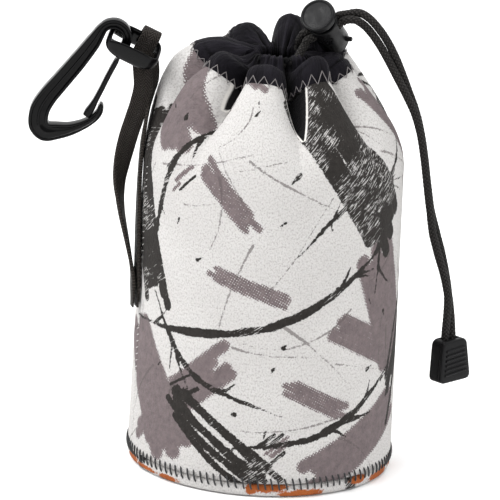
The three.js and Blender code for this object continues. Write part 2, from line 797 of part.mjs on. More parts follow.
function ovalRing() {
  const [long, deep] = [(ringLength - ringWall) / 2, (ringDepth - ringWall) / 2];
  const square = (value) => Math.sign(value) * Math.abs(value) ** ringSquareness;
  const points = [];
  const sides = [];
  const heights = [];
  for (let k = 0; k < ringStations; k++) {
    const turn = ((k + 0.5) / ringStations) * Math.PI * 2;
    const [across, along] = [Math.cos(turn), Math.sin(turn)];
    points.push(ringCentre.clone()
      .addScaledVector(ringAlong, long * square(across))
      .addScaledVector(ringBack, deep * square(along)));
    const [facing, rising] = [across / long, along / deep]
      .map((value) => Math.sign(value) * Math.abs(value) ** (2 - ringSquareness));
    sides.push(ringAlong.clone().multiplyScalar(facing).addScaledVector(ringBack, rising).normalize());
    heights.push(lerp(ringHeight, ringEndHeight, Math.max(0, -across) ** 2));
  }
  const [x, e] = [ringWall / 2, ringWall / 4];
  const section = (y) => [
    [-x + e, -y], [x - e, -y], [x, -y + e], [x, y - e],
    [x - e, y], [-x + e, y], [-x, y - e], [-x, -y + e],
  ].map(([u, v]) => new THREE.Vector2(u, v));
  return sweep(points, (i) => sides[i], (i) => section(heights[i] / 2), true);
}

// The strap's route: up its outer strand, over the ring's back wall and down its inner strand
function strapStations() {
  const reach = ringWall / 2 + clearance + strapThickness / 2 + strapSlack;
  const barrier = (ringDepth - ringWall) / 2;
  const onRing = (back, up) => ringCentre.clone()
    .addScaledVector(ringAlong, strapFoldAlong)
    .addScaledVector(ringBack, barrier + back)
    .addScaledVector(ringUp, up);
  const crest = ringHeight / 2 - ringWall / 2;
  const over = strapFoldTurns.map((turn) => onRing(
    -reach * Math.cos(toRadians(turn)),
    crest + reach * Math.sin(toRadians(turn)),
  ));
  const fold = [
    onRing(-reach - strapLeaning, -crest), onRing(-reach - strapLeaning / 3, 0), ...over,
    onRing(reach, 0), onRing(reach, -crest),
  ];
  const free = ([out, y, rise, turn, dip]) => {
    const height = shoulderStart + rise;
    return { place: new THREE.Vector3(-wallRadiusAt(height) - out, y, height), turn, dip };
  };
  return [
    ...strapOuter.map(free),
    ...fold.map((place) => ({ place, turn: 0, dip: strapFoldDip })),
    ...strapInner.map(free),
  ];
}

function carryLoop() {
  const stations = strapStations();
  const curve = new THREE.CatmullRomCurve3(stations.map((s) => s.place), false, "centripetal");
  const spans = stations.length - 1;
  const count = spans * strapStepsPerPoint;
  const points = [];
  const sides = [];
  for (let k = 0; k <= count; k++) {
    const place = (k / count) * spans;
    const span = Math.min(Math.floor(place), spans - 1);
    const [now, next] = [stations[span], stations[span + 1]];
    const turn = toRadians(lerp(now.turn, next.turn, place - span));
    const dip = toRadians(lerp(now.dip, next.dip, place - span));
    points.push(curve.getPoint(k / count));
    sides.push(new THREE.Vector3(
      Math.cos(turn) * Math.cos(dip), Math.sin(turn) * Math.cos(dip), -Math.sin(dip),
    ));
  }
  return sweep(points, (i) => sides[i], () => boxSection(strapWidth, strapThickness));
}

// The hook's own axes: across towards the gate and down towards the basket
const hookAcross = new THREE.Vector3(1, 0, 0)
  .applyAxisAngle(new THREE.Vector3(0, 1, 0), toRadians(hookDip));
const hookDown = new THREE.Vector3(0, 0, -1)
  .applyAxisAngle(new THREE.Vector3(0, 1, 0), toRadians(hookDip));
const faceWay = new THREE.Vector3(0, 1, 0);

function inHook(across, down) {
  return ringPivot.clone().addScaledVector(hookAcross, across).addScaledVector(hookDown, down);
}

// The hook's middle line: up the leg, over the arch, down the spine and round to the nose
const hookLine = [
  { across: hookArch + hookGroove, down: hookLegReach, width: hookArchWidth, depth: hookLegDepth },
  { across: hookArch + hookGroove / 2, down: hookLegReach / 2, width: hookArchWidth, depth: hookLegDepth },
  ...hookArchTurns.map((turn) => ({
    across: hookArch * Math.cos(toRadians(turn)),
    down: -hookArch * Math.sin(toRadians(turn)),
    width: hookArchWidth,
    depth: hookLegDepth,
  })),
  ...hookLineShares.map(([across, down, width]) => ({
    across: across * hookLength, down: down * hookLength, width: width * hookLength, depth: hookDepth,
  })),
];

// A section like a rolled joist: a rim each side of a thinner web
function joistSection(width, depth) {
  const [x, y] = [width / 2, depth / 2];
  const [inner, web] = [x - hookRim, y - hookGroove];
  return [
    [-x, -y], [-inner, -y], [-inner, -web], [inner, -web], [inner, -y], [x, -y],
    [x, y], [inner, y], [inner, web], [-inner, web], [-inner, y], [-x, y],
  ].map(([u, v]) => new THREE.Vector2(u, v));
}

function hookFrame() {
  const curve = new THREE.CatmullRomCurve3(
    hookLine.map((p) => inHook(p.across, p.down)), false, "centripetal",
  );
  const spans = hookLine.length - 1;
  const count = spans * hookStepsPerPoint;
  const points = [];
  const sides = [];
  const sizes = [];
  for (let k = 0; k <= count; k++) {
    const place = (k / count) * spans;
    const span = Math.min(Math.floor(place), spans - 1);
    const share = place - span;
    points.push(curve.getPoint(k / count));
    sides.push(curve.getTangent(k / count).cross(faceWay).normalize());
    sizes.push([
      lerp(hookLine[span].width, hookLine[span + 1].width, share),
      lerp(hookLine[span].depth, hookLine[span + 1].depth, share),
    ]);
  }
  return sweep(points, (i) => sides[i], (i) => joistSection(...sizes[i]));
}

// The sprung tongue that closes the hook from inside its nose
function hookGate() {
  const root = { across: hookArch + gateInset, down: gateRoot };
  const tip = { across: hookLength * gateTipShare, down: hookLength * gateReachShare };
  const points = [];
  const widths = [];
  for (const [share, swell] of gateLineShares) {
    const bow = gateBow * Math.sin(Math.PI * share);
    points.push(inHook(lerp(root.across, tip.across, share) + bow, lerp(root.down, tip.down, share)));
    widths.push(gateThickness * swell);
  }
  return sweep(points, () => hookAcross, (i) => boxSection(widths[i], gateDepth));
}

const model = new THREE.Group();
function add(name, geometry, color, roughness, metalness = 0) {
  const material = new THREE.MeshStandardMaterial({ color, roughness, metalness });
  const mesh = new THREE.Mesh(geometry, material);
  mesh.name = name;
  model.add(mesh);
}

const printed = 0xcfcac2;
const knit = 0x1a1a1d;
const braid = 0x141414;
const plastic = 0x1c1d1f;
add("base_panel", basePanel(), printed, 0.9);
add("side_wall", sideWall(), printed, 0.9);
add("collar", clearDrawstring(cut(collarBody(), sideWall())), knit, 0.95);
add("drawstring_loop", drawstringLoop(), braid, 0.8);
add("drawstring_tail_front", drawstringTail(-1), braid, 0.8);
add("drawstring_tail_back", drawstringTail(1), braid, 0.8);
add("lock_barrel", lockBarrel(), plastic, 0.4);
add("lock_plunger", lockPlunger(), plastic, 0.45);
add("lock_spring", lockSpring(), 0x9a9a98, 0.3, 1);
add("cord_end_body", cordEndBody(), plastic, 0.5);
add("cord_end_cover", cordEndCover(), plastic, 0.5);
add("strand_knot", strandKnot(), braid, 0.8);
add("carry_loop", carryLoop(), braid, 0.85);
add("strap_ring", ovalRing(), plastic, 0.35);
add("hook_frame", hookFrame(), plastic, 0.3);
add("hook_gate", hookGate(), plastic, 0.3);

export default model;
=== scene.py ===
import math

import bmesh
import bpy
import numpy as np
from mathutils import Matrix, Vector


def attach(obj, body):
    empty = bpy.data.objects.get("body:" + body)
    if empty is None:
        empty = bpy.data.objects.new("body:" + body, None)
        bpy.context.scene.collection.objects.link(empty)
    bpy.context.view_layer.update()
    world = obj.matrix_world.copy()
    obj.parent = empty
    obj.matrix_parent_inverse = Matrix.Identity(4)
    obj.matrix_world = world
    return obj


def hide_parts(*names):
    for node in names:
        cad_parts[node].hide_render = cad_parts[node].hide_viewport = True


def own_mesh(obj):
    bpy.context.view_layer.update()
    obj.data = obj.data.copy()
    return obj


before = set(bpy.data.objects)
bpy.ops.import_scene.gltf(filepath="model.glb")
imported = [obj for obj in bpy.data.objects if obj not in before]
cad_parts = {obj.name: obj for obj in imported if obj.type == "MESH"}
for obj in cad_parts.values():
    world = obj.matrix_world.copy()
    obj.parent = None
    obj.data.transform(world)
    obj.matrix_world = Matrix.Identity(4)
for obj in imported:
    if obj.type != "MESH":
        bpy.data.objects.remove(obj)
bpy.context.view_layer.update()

MM = 0.001
TINY = 1e-6
END_RISE = 0.4  # how far a cord's closing point stands out, in radii
FIRST_SIDE = (0.31, 0.47, 0.83)  # a way that no cord here runs along
rng = np.random.default_rng(41)
scene = bpy.context.scene


# Small vector tools. Lengths are in millimetres until an object is made.
def unit(v):
    v = np.asarray(v, float)
    return v / np.linalg.norm(v, axis=-1, keepdims=True)


def rotate(v, axis, degrees):
    return np.array(Matrix.Rotation(math.radians(degrees), 3, Vector(axis)) @ Vector(v))


def lerp(a, b, share):
    return a + (b - a) * share


def smoothstep(x):
    x = np.clip(x, 0, 1)
    return x * x * (3 - 2 * x)


def run_along(points):
    """How far along a line each of its points lies."""
    return np.concatenate([[0], np.cumsum(np.linalg.norm(np.diff(points, axis=0), axis=1))])


def climb_of(rows):
    """How far up a grid of points each of its rows lies, on average."""
    return np.concatenate([[0], np.cumsum(np.linalg.norm(np.diff(rows, axis=0), axis=2).mean(axis=1))])


def between(column, at):
    """A table's column read at places that may fall between its rows."""
    return np.interp(at, np.arange(len(column)), column)


def resample(values, run, at):
    return np.column_stack([np.interp(at, run, column) for column in values.T])


def power(value, exponent):
    return np.sign(value) * np.abs(value) ** exponent


def catmull(points, shares):
    """Points on a centripetal Catmull-Rom curve through the given points."""
    p = np.asarray(points, float)
    spans = len(p) - 1
    place = np.asarray(shares, float) * spans
    index = np.minimum(np.floor(place).astype(int), spans - 1)
    t = (place - index)[:, None]
    wide = np.vstack([2 * p[0] - p[1], p, 2 * p[-1] - p[-2]])
    p0, p1, p2, p3 = (wide[index + k] for k in range(4))
    gaps = [np.maximum(np.linalg.norm(b - a, axis=1), TINY) ** 0.5
            for a, b in ((p0, p1), (p1, p2), (p2, p3))]
    d0, d1, d2 = (g[:, None] for g in gaps)
    t1 = ((p1 - p0) / d0 - (p2 - p0) / (d0 + d1) + (p2 - p1) / d1) * d1
    t2 = ((p2 - p1) / d1 - (p3 - p1) / (d1 + d2) + (p3 - p2) / d2) * d1
    return (p1 + t1 * t + (-3 * p1 + 3 * p2 - 2 * t1 - t2) * t ** 2
            + (2 * p1 - 2 * p2 + t1 + t2) * t ** 3)


def even(points, step):
    """The same curve again with its points a step apart."""
    dense = catmull(points, np.linspace(0, 1, len(points) * 24 + 1))
    run = run_along(dense)
    count = max(int(round(run[-1] / step)), 2)
    return resample(dense, run, np.linspace(0, run[-1], count + 1))


def tangents(points, closed=False):
    """The way along a curve at each of its points."""
    if closed:
        return unit(np.roll(points, -1, 0) - np.roll(points, 1, 0))
    return unit(np.gradient(points, axis=0))


def carried(along):
    """A side way at each point of a curve, carried along it without twist."""
    side = np.array(FIRST_SIDE)
    sides = []
    for way in along:
        side = side - way * side.dot(way)
        side = side / np.linalg.norm(side)
        sides.append(side)
    return np.array(sides)


def grid_faces(rows, columns, close_rows=False, close_columns=False):
    r = np.arange(rows if close_rows else rows - 1)
    c = np.arange(columns if close_columns else columns - 1)
    rr, cc = np.meshgrid(r, c, indexing="ij")
    r2, c2 = (rr + 1) % rows, (cc + 1) % columns
    corners = [rr * columns + cc, rr * columns + c2, r2 * columns + c2, r2 * columns + cc]
    return np.stack(corners, -1).reshape(-1, 4).tolist()


def end_faces(rows, columns):
    """The two faces over the first and the last row of a grid."""
    return [list(range(columns))[::-1], [(rows - 1) * columns + k for k in range(columns)]]


def add_object(name, data):
    added = bpy.data.objects.new(name, data)
    scene.collection.objects.link(added)
    return added


def make(name, verts, faces, uv=None, flip=False):
    """A mesh object from points in millimetres; uv is one pair per vertex, in millimetres."""
    mesh = bpy.data.meshes.new(name)
    if flip:
        faces = [face[::-1] for face in faces]
    mesh.from_pydata((np.asarray(verts, float) * MM).tolist(), [], faces)
    if uv is not None:
        layer = mesh.uv_layers.new(name="millimetres")
        corner = np.zeros(len(mesh.loops), np.int32)
        mesh.loops.foreach_get("vertex_index", corner)
        layer.data.foreach_set("uv", np.asarray(uv, np.float32)[corner].ravel())
    mesh.polygons.foreach_set("use_smooth", [True] * len(mesh.polygons))
    mesh.update()
    return add_object(name, mesh)


def outward(piece):
    """Turns the faces of a closed mesh outward."""
    work = bmesh.new()
    work.from_mesh(piece.data)
    bmesh.ops.recalc_face_normals(work, faces=work.faces)
    work.to_mesh(piece.data)
    work.free()
    return piece


def tube(points, radius, sides=16, bumps=None):
    """A round cord along points: its vertices, its faces and (around, along) pairs."""
    along = tangents(points)
    side = carried(along)
    up = np.cross(along, side)
    run = run_along(points)
    turn = np.linspace(0, 2 * math.pi, sides, endpoint=False)
    size = np.full((len(points), sides), float(radius))
    if bumps is not None:
        size = size + bumps(run[:, None], turn[None, :])
    ring = side[:, None, :] * np.cos(turn)[None, :, None] + up[:, None, :] * np.sin(turn)[None, :, None]
    verts = (points[:, None, :] + ring * size[:, :, None]).reshape(-1, 3)
    faces = grid_faces(len(points), sides, close_columns=True)
    around = np.repeat((turn * np.mean(size))[None, :], len(points), 0)
    uv = np.stack([around, np.repeat(run[:, None], sides, 1)], -1).reshape(-1, 2)
    # a low point closes each end
    first, last, base = len(verts), len(verts) + 1, (len(points) - 1) * sides
    verts = np.vstack([verts, points[0] - along[0] * np.mean(size[0]) * END_RISE,
                       points[-1] + along[-1] * np.mean(size[-1]) * END_RISE])
    uv = np.vstack([uv, [0, 0], [0, run[-1]]])
    for k in range(sides):
        after = (k + 1) % sides
        faces += [[first, after, k], [last, base + k, base + after]]
    return verts, faces, uv


def swept(name, points, sides, sections, closed=False):
    """A closed solid: each section's (side, other) pairs stand on the curve's points."""
    along = tangents(points, closed)
    side = unit(sides - along * np.sum(sides * along, -1, keepdims=True))
    other = np.cross(along, side)
    verts = (points[:, None, :] + side[:, None, :] * sections[:, :, :1]
             + other[:, None, :] * sections[:, :, 1:])
    count = sections.shape[1]
    faces = grid_faces(len(points), count, closed, True)
    if not closed:
        faces += end_faces(len(points), count)
    run = np.repeat(run_along(points)[:, None], count, 1)
    uv = np.stack([sections[:, :, 0], run], -1).reshape(-1, 2)
    return outward(make(name, verts.reshape(-1, 3), faces, uv))


def turned(profile, segments):
    """Vertices and faces of a lathe solid about Z, closed at both ends of its profile."""
    turn = np.linspace(0, 2 * math.pi, segments, endpoint=False)
    verts, rows, faces = [], [], []
    for r, z in np.asarray(profile, float):
        ring = [(0, 0, z)] if r < TINY else [(r * math.cos(t), r * math.sin(t), z) for t in turn]
        rows.append(range(len(verts), len(verts) + len(ring)))
        verts += ring
    for a, b in zip(rows, rows[1:]):
        if len(a) == len(b) == 1:
            continue
        for k in range(segments):
            m = (k + 1) % segments
            if len(a) == 1:
                faces.append([a[0], b[m], b[k]])
            elif len(b) == 1:
                faces.append([a[k], a[m], b[0]])
            else:
                faces.append([a[k], a[m], b[m], b[k]])
    return np.array(verts), faces


def round_corner(a, b, c, radius, steps):
    """Points that round off the corner b, which lies between a and c."""
    start, stop = b + unit(a - b) * radius, b + unit(c - b) * radius
    shares = [k / steps for k in range(steps + 1)]
    return [(1 - t) ** 2 * start + 2 * t * (1 - t) * b + t * t * stop for t in shares]


def rounded(profile, radius, steps=5):
    """A profile with its inner corners rounded off."""
    p = [np.asarray(v, float) for v in profile]
    out = [p[0]]
    for a, b, c in zip(p, p[1:], p[2:]):
        room = min(np.linalg.norm(b - a), np.linalg.norm(c - b)) * 0.48
        out += round_corner(a, b, c, min(radius, room), steps)
    return np.array([*out, p[-1]])


def band_noise(columns, rows, smooth_columns, smooth_rows):
    """Seeded smooth noise on a grid, about -1 to 1, wrapping round its columns."""
    grid = rng.standard_normal((rows, columns))
    for axis, width, mode in ((1, smooth_columns, "wrap"), (0, smooth_rows, "edge")):
        reach = int(width * 3) + 1
        kernel = np.exp(-0.5 * (np.arange(-reach, reach + 1) / width) ** 2)
        pad = [(reach, reach) if axis == k else (0, 0) for k in (0, 1)]
        padded = np.pad(grid, pad, mode=mode)
        grid = np.apply_along_axis(lambda line: np.convolve(line, kernel, "valid"), axis, padded)
    return grid / (np.abs(grid).max() + 1e-9)


# The camera comes first: the photograph's view, turned about three degrees clockwise
ELEVATION = math.radians(17)
ROLL = math.radians(3)
DISTANCE = 3.6
LOOK_AT = Vector((-6.9 * MM, 0, 77.3 * MM))
PIXELS_PER_MM = 2.8
forward = Vector((0, math.cos(ELEVATION), -math.sin(ELEVATION)))
level_up = Vector((0, math.sin(ELEVATION), math.cos(ELEVATION)))
level_right = Vector((1, 0, 0))
cam_up = level_up * math.cos(ROLL) - level_right * math.sin(ROLL)
cam_right = level_right * math.cos(ROLL) + level_up * math.sin(ROLL)
SENSOR_MM, PICTURE_PIXELS = 36, 500
camera_data = bpy.data.cameras.new("camera")
camera_data.sensor_width = SENSOR_MM
camera_data.lens = PIXELS_PER_MM * 1000 * DISTANCE * SENSOR_MM / PICTURE_PIXELS
camera_data.clip_start, camera_data.clip_end = 0.1, 20
camera = add_object("camera", camera_data)
view = Matrix((cam_right, cam_up, -forward)).transposed().to_4x4()
view.translation = LOOK_AT - forward * DISTANCE
camera.matrix_world = view
scene.camera = camera
scene.view_settings.view_transform = "Standard"


# Materials
class Nodes:
    """Short ways to add nodes to a tree. A value may be a number, a colour, a vector or a socket."""

    def __init__(self, tree):
        self.tree = tree

    def feed(self, socket, value):
        if isinstance(value, tuple):
            socket.default_value = (*value, 1) if socket.type == "RGBA" else value
        elif isinstance(value, (int, float)):
            socket.default_value = value
        elif value is not None:
            self.tree.links.new(value, socket)

    def fill(self, node, values):
        """Each value is one of the node's own settings, or goes into its input of that name."""
        for key, value in values.items():
            if hasattr(node, key):
                setattr(node, key, value)
            else:
                self.feed(node.inputs[key.replace("_", " ")], value)
        return node

    def node(self, kind, **values):
        return self.fill(self.tree.nodes.new(kind), values)

    def math(self, kind, a, b=None, c=None, clamp=False):
        n = self.node("ShaderNodeMath", operation=kind, use_clamp=clamp)
        for socket, value in zip(n.inputs, (a, b, c)):
            self.feed(socket, value)
        return n.outputs[0]

    def add(self, a, b):
        return self.math("ADD", a, b)

    def minus(self, a, b):
        return self.math("SUBTRACT", a, b)

    def times(self, a, b):
        return self.math("MULTIPLY", a, b)

    def centred(self, value, size):
        """A value of 0 to 1 as one that swings about nothing."""
        return self.times(self.minus(value, 0.5), size)

    def wave(self, phase):
        return self.math("MULTIPLY_ADD", self.math("SINE", phase), 0.5, 0.5)

    def ramp(self, value, low, high, out_low=0.0, out_high=1.0, kind="SMOOTHSTEP"):
        return self.node("ShaderNodeMapRange", interpolation_type=kind, Value=value, From_Min=low,
                         From_Max=high, To_Min=out_low, To_Max=out_high).outputs["Result"]

    def split(self, vector):
        return self.node("ShaderNodeSeparateXYZ", Vector=vector).outputs

    def noise(self, vector, scale, detail=2.0, rough=0.5):
        return self.node("ShaderNodeTexNoise", Vector=vector, Scale=scale, Detail=detail,
                         Roughness=rough).outputs["Fac"]


class Shader(Nodes):
    """A material that is one Principled shader and what feeds it."""

    def __init__(self, name):
        self.material = bpy.data.materials.new(name)
        self.material.use_nodes = True
        super().__init__(self.material.node_tree)

    def mix(self, share, a, b):
        n = self.node("ShaderNodeMix", data_type="RGBA")
        for socket, value in ((n.inputs["Factor"], share), (n.inputs[6], a), (n.inputs[7], b)):
            self.feed(socket, value)
        return n.outputs[2]

    def place(self):
        return self.node("ShaderNodeTexCoord").outputs["Object"]

    def flat(self):
        return self.node("ShaderNodeUVMap", uv_map="millimetres").outputs["UV"]

    def stored(self, name, output="Fac"):
        n = self.node("ShaderNodeAttribute", attribute_name=name, attribute_type="GEOMETRY")
        return n.outputs[output]

    def stretch(self, vector, scale, turn=0.0, kind="POINT"):
        return self.node("ShaderNodeMapping", vector_type=kind, Vector=vector, Scale=scale,
                         Rotation=(0, 0, turn)).outputs["Vector"]

    def grain(self, flat, across, along, rough=0.6, detail=2, turn=0.0):
        """Noise on the flat coordinates, this many grains to the millimetre each way."""
        return self.noise(self.stretch(flat, (across, along, 1), turn), 1.0, detail, rough)

    def streaks(self, vector, length, width, degrees):
        """Noise drawn out along a direction, its length and width in the vector's own units."""
        drawn = self.stretch(vector, (length, width, 1), math.radians(degrees), "TEXTURE")
        return self.noise(drawn, 1.0, 2.0, 0.6)

    def bump(self, height, distance, strength=1.0, normal=None):
        return self.node("ShaderNodeBump", Height=height, Distance=distance, Strength=strength,
                         Normal=normal).outputs["Normal"]

    def set(self, **values):
        self.fill(self.tree.nodes["Principled BSDF"], values)
        return self.material


def neoprene(name):
    """Off-white knit with a print whose soft fields are stored on the mesh."""
    s = Shader(name)
    spot, flat = s.place(), s.flat()
    fields = s.node("ShaderNodeSeparateColor", Color=s.stored("print_fields", "Color"))
    dark_field, haze_field, line_field = fields.outputs
    ragged = s.noise(spot, 1100, 3, 0.65)
    coarse = s.noise(spot, 170)
    edge = s.add(s.centred(ragged, 0.85), s.centred(coarse, 0.4))
    # bark: solid brown broken by pale streaks and flecks
    streak = s.streaks(flat, 4.5, 0.5, 38)
    cloud = s.ramp(s.noise(spot, 70, 1), 0.38, 0.62)
    worn = s.add(s.add(streak, s.centred(ragged, 0.35)), s.times(cloud, 0.2))
    fleck = s.ramp(worn, 0.72, 0.82)
    dark = s.ramp(s.add(dark_field, edge), 0.42, 0.56)
    dark = s.times(dark, s.minus(1.0, s.times(fleck, 0.8)))
    line = s.ramp(s.add(line_field, s.times(edge, 1.1)), 0.45, 0.65)
    # mauve: a halftone of small dots, ragged at its edges
    slanted = s.stretch(flat, (1, 1, 1), math.radians(28))
    dots = s.times(*(s.node("ShaderNodeTexWave", wave_type="BANDS", bands_direction=way, wave_profile="SIN",
                            Vector=slanted, Scale=0.36, Distortion=0).outputs["Fac"] for way in "XY"))
    hatch = s.streaks(flat, 5.0, 0.8, -52)
    haze_edge = s.add(s.add(haze_field, s.times(edge, 0.8)), s.centred(hatch, 0.5))
    haze = s.ramp(s.minus(haze_edge, s.times(dots, 0.5)), 0.18, 0.4)
    paper = s.mix(s.noise(spot, 45), (0.5, 0.486, 0.475), (0.62, 0.608, 0.596))
    paper = s.mix(s.ramp(s.grain(flat, 1.7, 1.3, 0.7), 0.42, 0.75), paper, (0.36, 0.345, 0.335))
    mauve = s.mix(s.noise(spot, 420, 3, 0.6), (0.045, 0.03, 0.033), (0.175, 0.13, 0.136))
    brown = s.mix(s.noise(spot, 520, 3, 0.6), (0.012, 0.0107, 0.0097), (0.036, 0.032, 0.0295))
    color = s.mix(s.times(haze, 0.9), paper, mauve)
    color = s.mix(s.times(line, 0.7), color, (0.1, 0.085, 0.083))
    color = s.mix(dark, color, brown)
    rusty = s.ramp(s.add(s.stored("rust_field"), edge), 0.45, 0.6)
    color = s.mix(rusty, color, s.mix(coarse, (0.42, 0.12, 0.03), (0.22, 0.055, 0.018)))
    # the folds below the neck: black inside, partly the black collar fabric that shows there and partly
    # painted shade for the deep fold, with the cut edge pale beside them
    fold = s.stored("fold_field")
    color = s.mix(s.times(s.ramp(fold, 0.4, 0.46), s.ramp(fold, 0.54, 0.5)), color, (0.72, 0.7, 0.67))
    color = s.mix(s.ramp(fold, 0.5, 0.55), color, (0.004, 0.0037, 0.0045))
    fine, pebble = s.grain(flat, 3.0, 2.2, 0.7), s.grain(flat, 1.0, 0.8)
    normal = s.bump(fine, 0.0003, 0.8, s.bump(pebble, 0.0006, 0.8))
    return s.set(Base_Color=color, Roughness=0.88, Normal=normal, Sheen_Weight=0.03, Sheen_Roughness=0.5,
                 Specular_IOR_Level=0.12)


def stretch_knit(name):
    """Fine black knit, with painted shade: darker down in its stored creases and folds, lighter on their
    ridges.
    """
    s = Shader(name)
    flat = s.flat()
    weave = s.grain(flat, 3.5, 1.6)
    drawn = s.grain(flat, 1.5, 0.22, detail=3)
    # painted shade: the stored crease field, with grain and noise, makes the knit darker in creases and
    # lighter on ridges
    crease_shading = s.add(s.stored("fold_field"), s.centred(drawn, 0.5))
    crease_shading = s.add(crease_shading, s.centred(s.noise(s.place(), 120), 0.3))
    color = s.mix(s.ramp(crease_shading, 0.1, 0.95), (0.0012, 0.0011, 0.0015), (0.0165, 0.0148, 0.02))
    normal = s.bump(weave, 0.00018, 0.5, s.bump(drawn, 0.0009, 0.8))
    return s.set(Base_Color=color, Roughness=s.ramp(weave, 0.3, 0.7, 0.6, 0.82), Normal=normal,
                 Sheen_Weight=0.03, Sheen_Roughness=0.4, Specular_IOR_Level=0.06)


def braid(name):
    """Yarns laid both ways round the cord, each with fine fibres; the colour is painted lighter on the yarns'
    crowns and darker between them, as painted highlight and shade.
    """
    s = Shader(name)
    flat = s.flat()
    around, along, _ = s.split(flat)
    one, two = (s.times(way(along, around), math.pi / BRAID_YARN) for way in (s.add, s.minus))
    over = s.times(s.math("SINE", one), s.math("SINE", two))
    fibre_and_shade = s.times(s.grain(flat, 5.0, 1.6, turn=0.5), 0.35)
    fibre_and_shade = s.add(s.times(s.math("ABSOLUTE", over), 0.8), fibre_and_shade)
    # painted highlight and shade: the yarns' relief and fine fibre grain set the colour, darker between yarns
    color = s.mix(fibre_and_shade, (0.002, 0.002, 0.0022), (0.036, 0.033, 0.031))
    return s.set(Base_Color=color, Normal=s.bump(fibre_and_shade, 0.00045), **WOVEN)


def webbing(name):
    """Herringbone: ribs that climb one way and then the other across the strap."""
    s = Shader(name)
    across, along, _ = s.split(s.flat())
    zig = s.math("PINGPONG", s.add(across, 20.0), 1.75)
    rib = s.wave(s.times(s.add(along, s.times(zig, 1.15)), 2 * math.pi / 1.05))
    yarn = s.wave(s.times(across, 2 * math.pi / 0.5))
    fuzz = s.noise(s.place(), 2600, 2, 0.6)
    height = s.add(s.times(rib, 0.8), s.add(s.times(yarn, 0.2), s.times(fuzz, 0.4)))
    # painted highlight and shade: the weave's height sets the colour, the strap's own brown-black painted
    # lighter on the ribs and darker between them
    share = s.math("MULTIPLY", height, 0.8, clamp=True)
    color = s.mix(share, (0.0015, 0.0015, 0.0015), (0.043, 0.036, 0.031))
    return s.set(Base_Color=color, Normal=s.bump(height, 0.0006), **WOVEN)


def brighter(color, by):
    return tuple(value * by for value in color)


def plastic(name, color, low, high, shine, bump=0.00002):
    """Moulded plastic, its roughness between low and high."""
    s = Shader(name)
    spot = s.place()
    broad, fine = s.noise(spot, 240, 3, 0.6), s.noise(spot, 3200, 2, 0.6)
    return s.set(Base_Color=s.mix(broad, color, brighter(color, 1.6)), Specular_IOR_Level=shine,
                 Roughness=s.ramp(broad, 0.3, 0.7, low, high), Normal=s.bump(fine, bump, 0.5))


def thread(name, color):
    s = Shader(name)
    twist = s.noise(s.place(), 4200, 2, 0.6)
    return s.set(Base_Color=s.mix(twist, color, brighter(color, 1.7)), Roughness=0.6,
                 Normal=s.bump(twist, 0.00006, 0.6), Sheen_Weight=0.15)


def steel(name):
    s = Shader(name)
    drawn = s.noise(s.place(), 1500)
    return s.set(Base_Color=s.mix(drawn, (0.5, 0.5, 0.5), (0.66, 0.66, 0.65)), Metallic=1.0,
                 Roughness=s.ramp(drawn, 0.3, 0.7, 0.25, 0.4))


BRAID_YARN = 1.5
WOVEN = {"Roughness": 0.6, "Sheen_Weight": 0.02, "Sheen_Roughness": 0.4, "Specular_IOR_Level": 0.12}
mat_print = neoprene("printed neoprene")
mat_collar = stretch_knit("black stretch knit")
mat_braid = braid("black braid")
mat_web = webbing("black webbing")
mat_satin = plastic("satin plastic", (0.004, 0.004, 0.0044), 0.26, 0.5, 0.14, 0.00005)
mat_gloss = plastic("glossy plastic", (0.0016, 0.0016, 0.0018), 0.12, 0.22, 0.13)
mat_black_thread = thread("black thread", (0.008, 0.008, 0.009))
mat_grey_thread = thread("grey thread", (0.11, 0.1, 0.1))
mat_pale_thread = thread("pale thread", (0.42, 0.41, 0.4))
mat_steel = steel("spring steel")


def finish_piece(piece, material, body, slot, *nodes):
    """Gives a piece its material and its body, and hides the solids that it stands for. The slot is not used.
    """
    piece.data.materials.clear()
    piece.data.materials.append(material)
    if nodes:
        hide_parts(*nodes)
    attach(piece, body)
    return piece


# The cord lock's own axes, the same as in the CAD source
UP = np.array([0, 0, 1.0])
LOCK_BOTTOM = np.array([19.3, 5.2, 155])
lock_up = rotate(rotate(UP, (1, 0, 0), 49.5), (0, 0, 1), -22.5)
bore_way = unit(np.array([1, 0, 0]) - lock_up * lock_up[0])
bore_way = rotate(bore_way, lock_up, 22)
lock_up, bore_way = rotate(lock_up, (0, 1, 0), -3), rotate(bore_way, (0, 1, 0), -3)
bore_across = np.cross(lock_up, bore_way)
LOCK_RADIUS, LOCK_HEIGHT, LOCK_WALL, LOCK_FLOOR = 5.4, 15.4, 1.1, 1.4
LOCK_TRAVEL, CAP_RADIUS, LUG_HEIGHT = 3, 6.3, 2.6
CLEAR = 0.3
CORD = 2.9
BORE_HEIGHT, BORE_WIDTH, BORE_DEPTH = 11.4, 2 * CORD + 0.9, CORD + 0.6
bore_centre = LOCK_BOTTOM + BORE_HEIGHT * lock_up
STRAND_OFFSET = (CORD + CLEAR) / 2
TAIL_START = LOCK_RADIUS + 0.75


def local_frame(origin, x, y, z):
    """A function that takes points from a frame of its own to the pouch's."""
    def place(points):
        p = np.asarray(points, float)
        return origin + p[:, :1] * x + p[:, 1:2] * y + p[:, 2:] * z
    return place


in_lock = local_frame(LOCK_BOTTOM, bore_way, bore_across, lock_up)


def on_bore(along, side):
    return bore_centre + along * bore_way + side * STRAND_OFFSET * bore_across


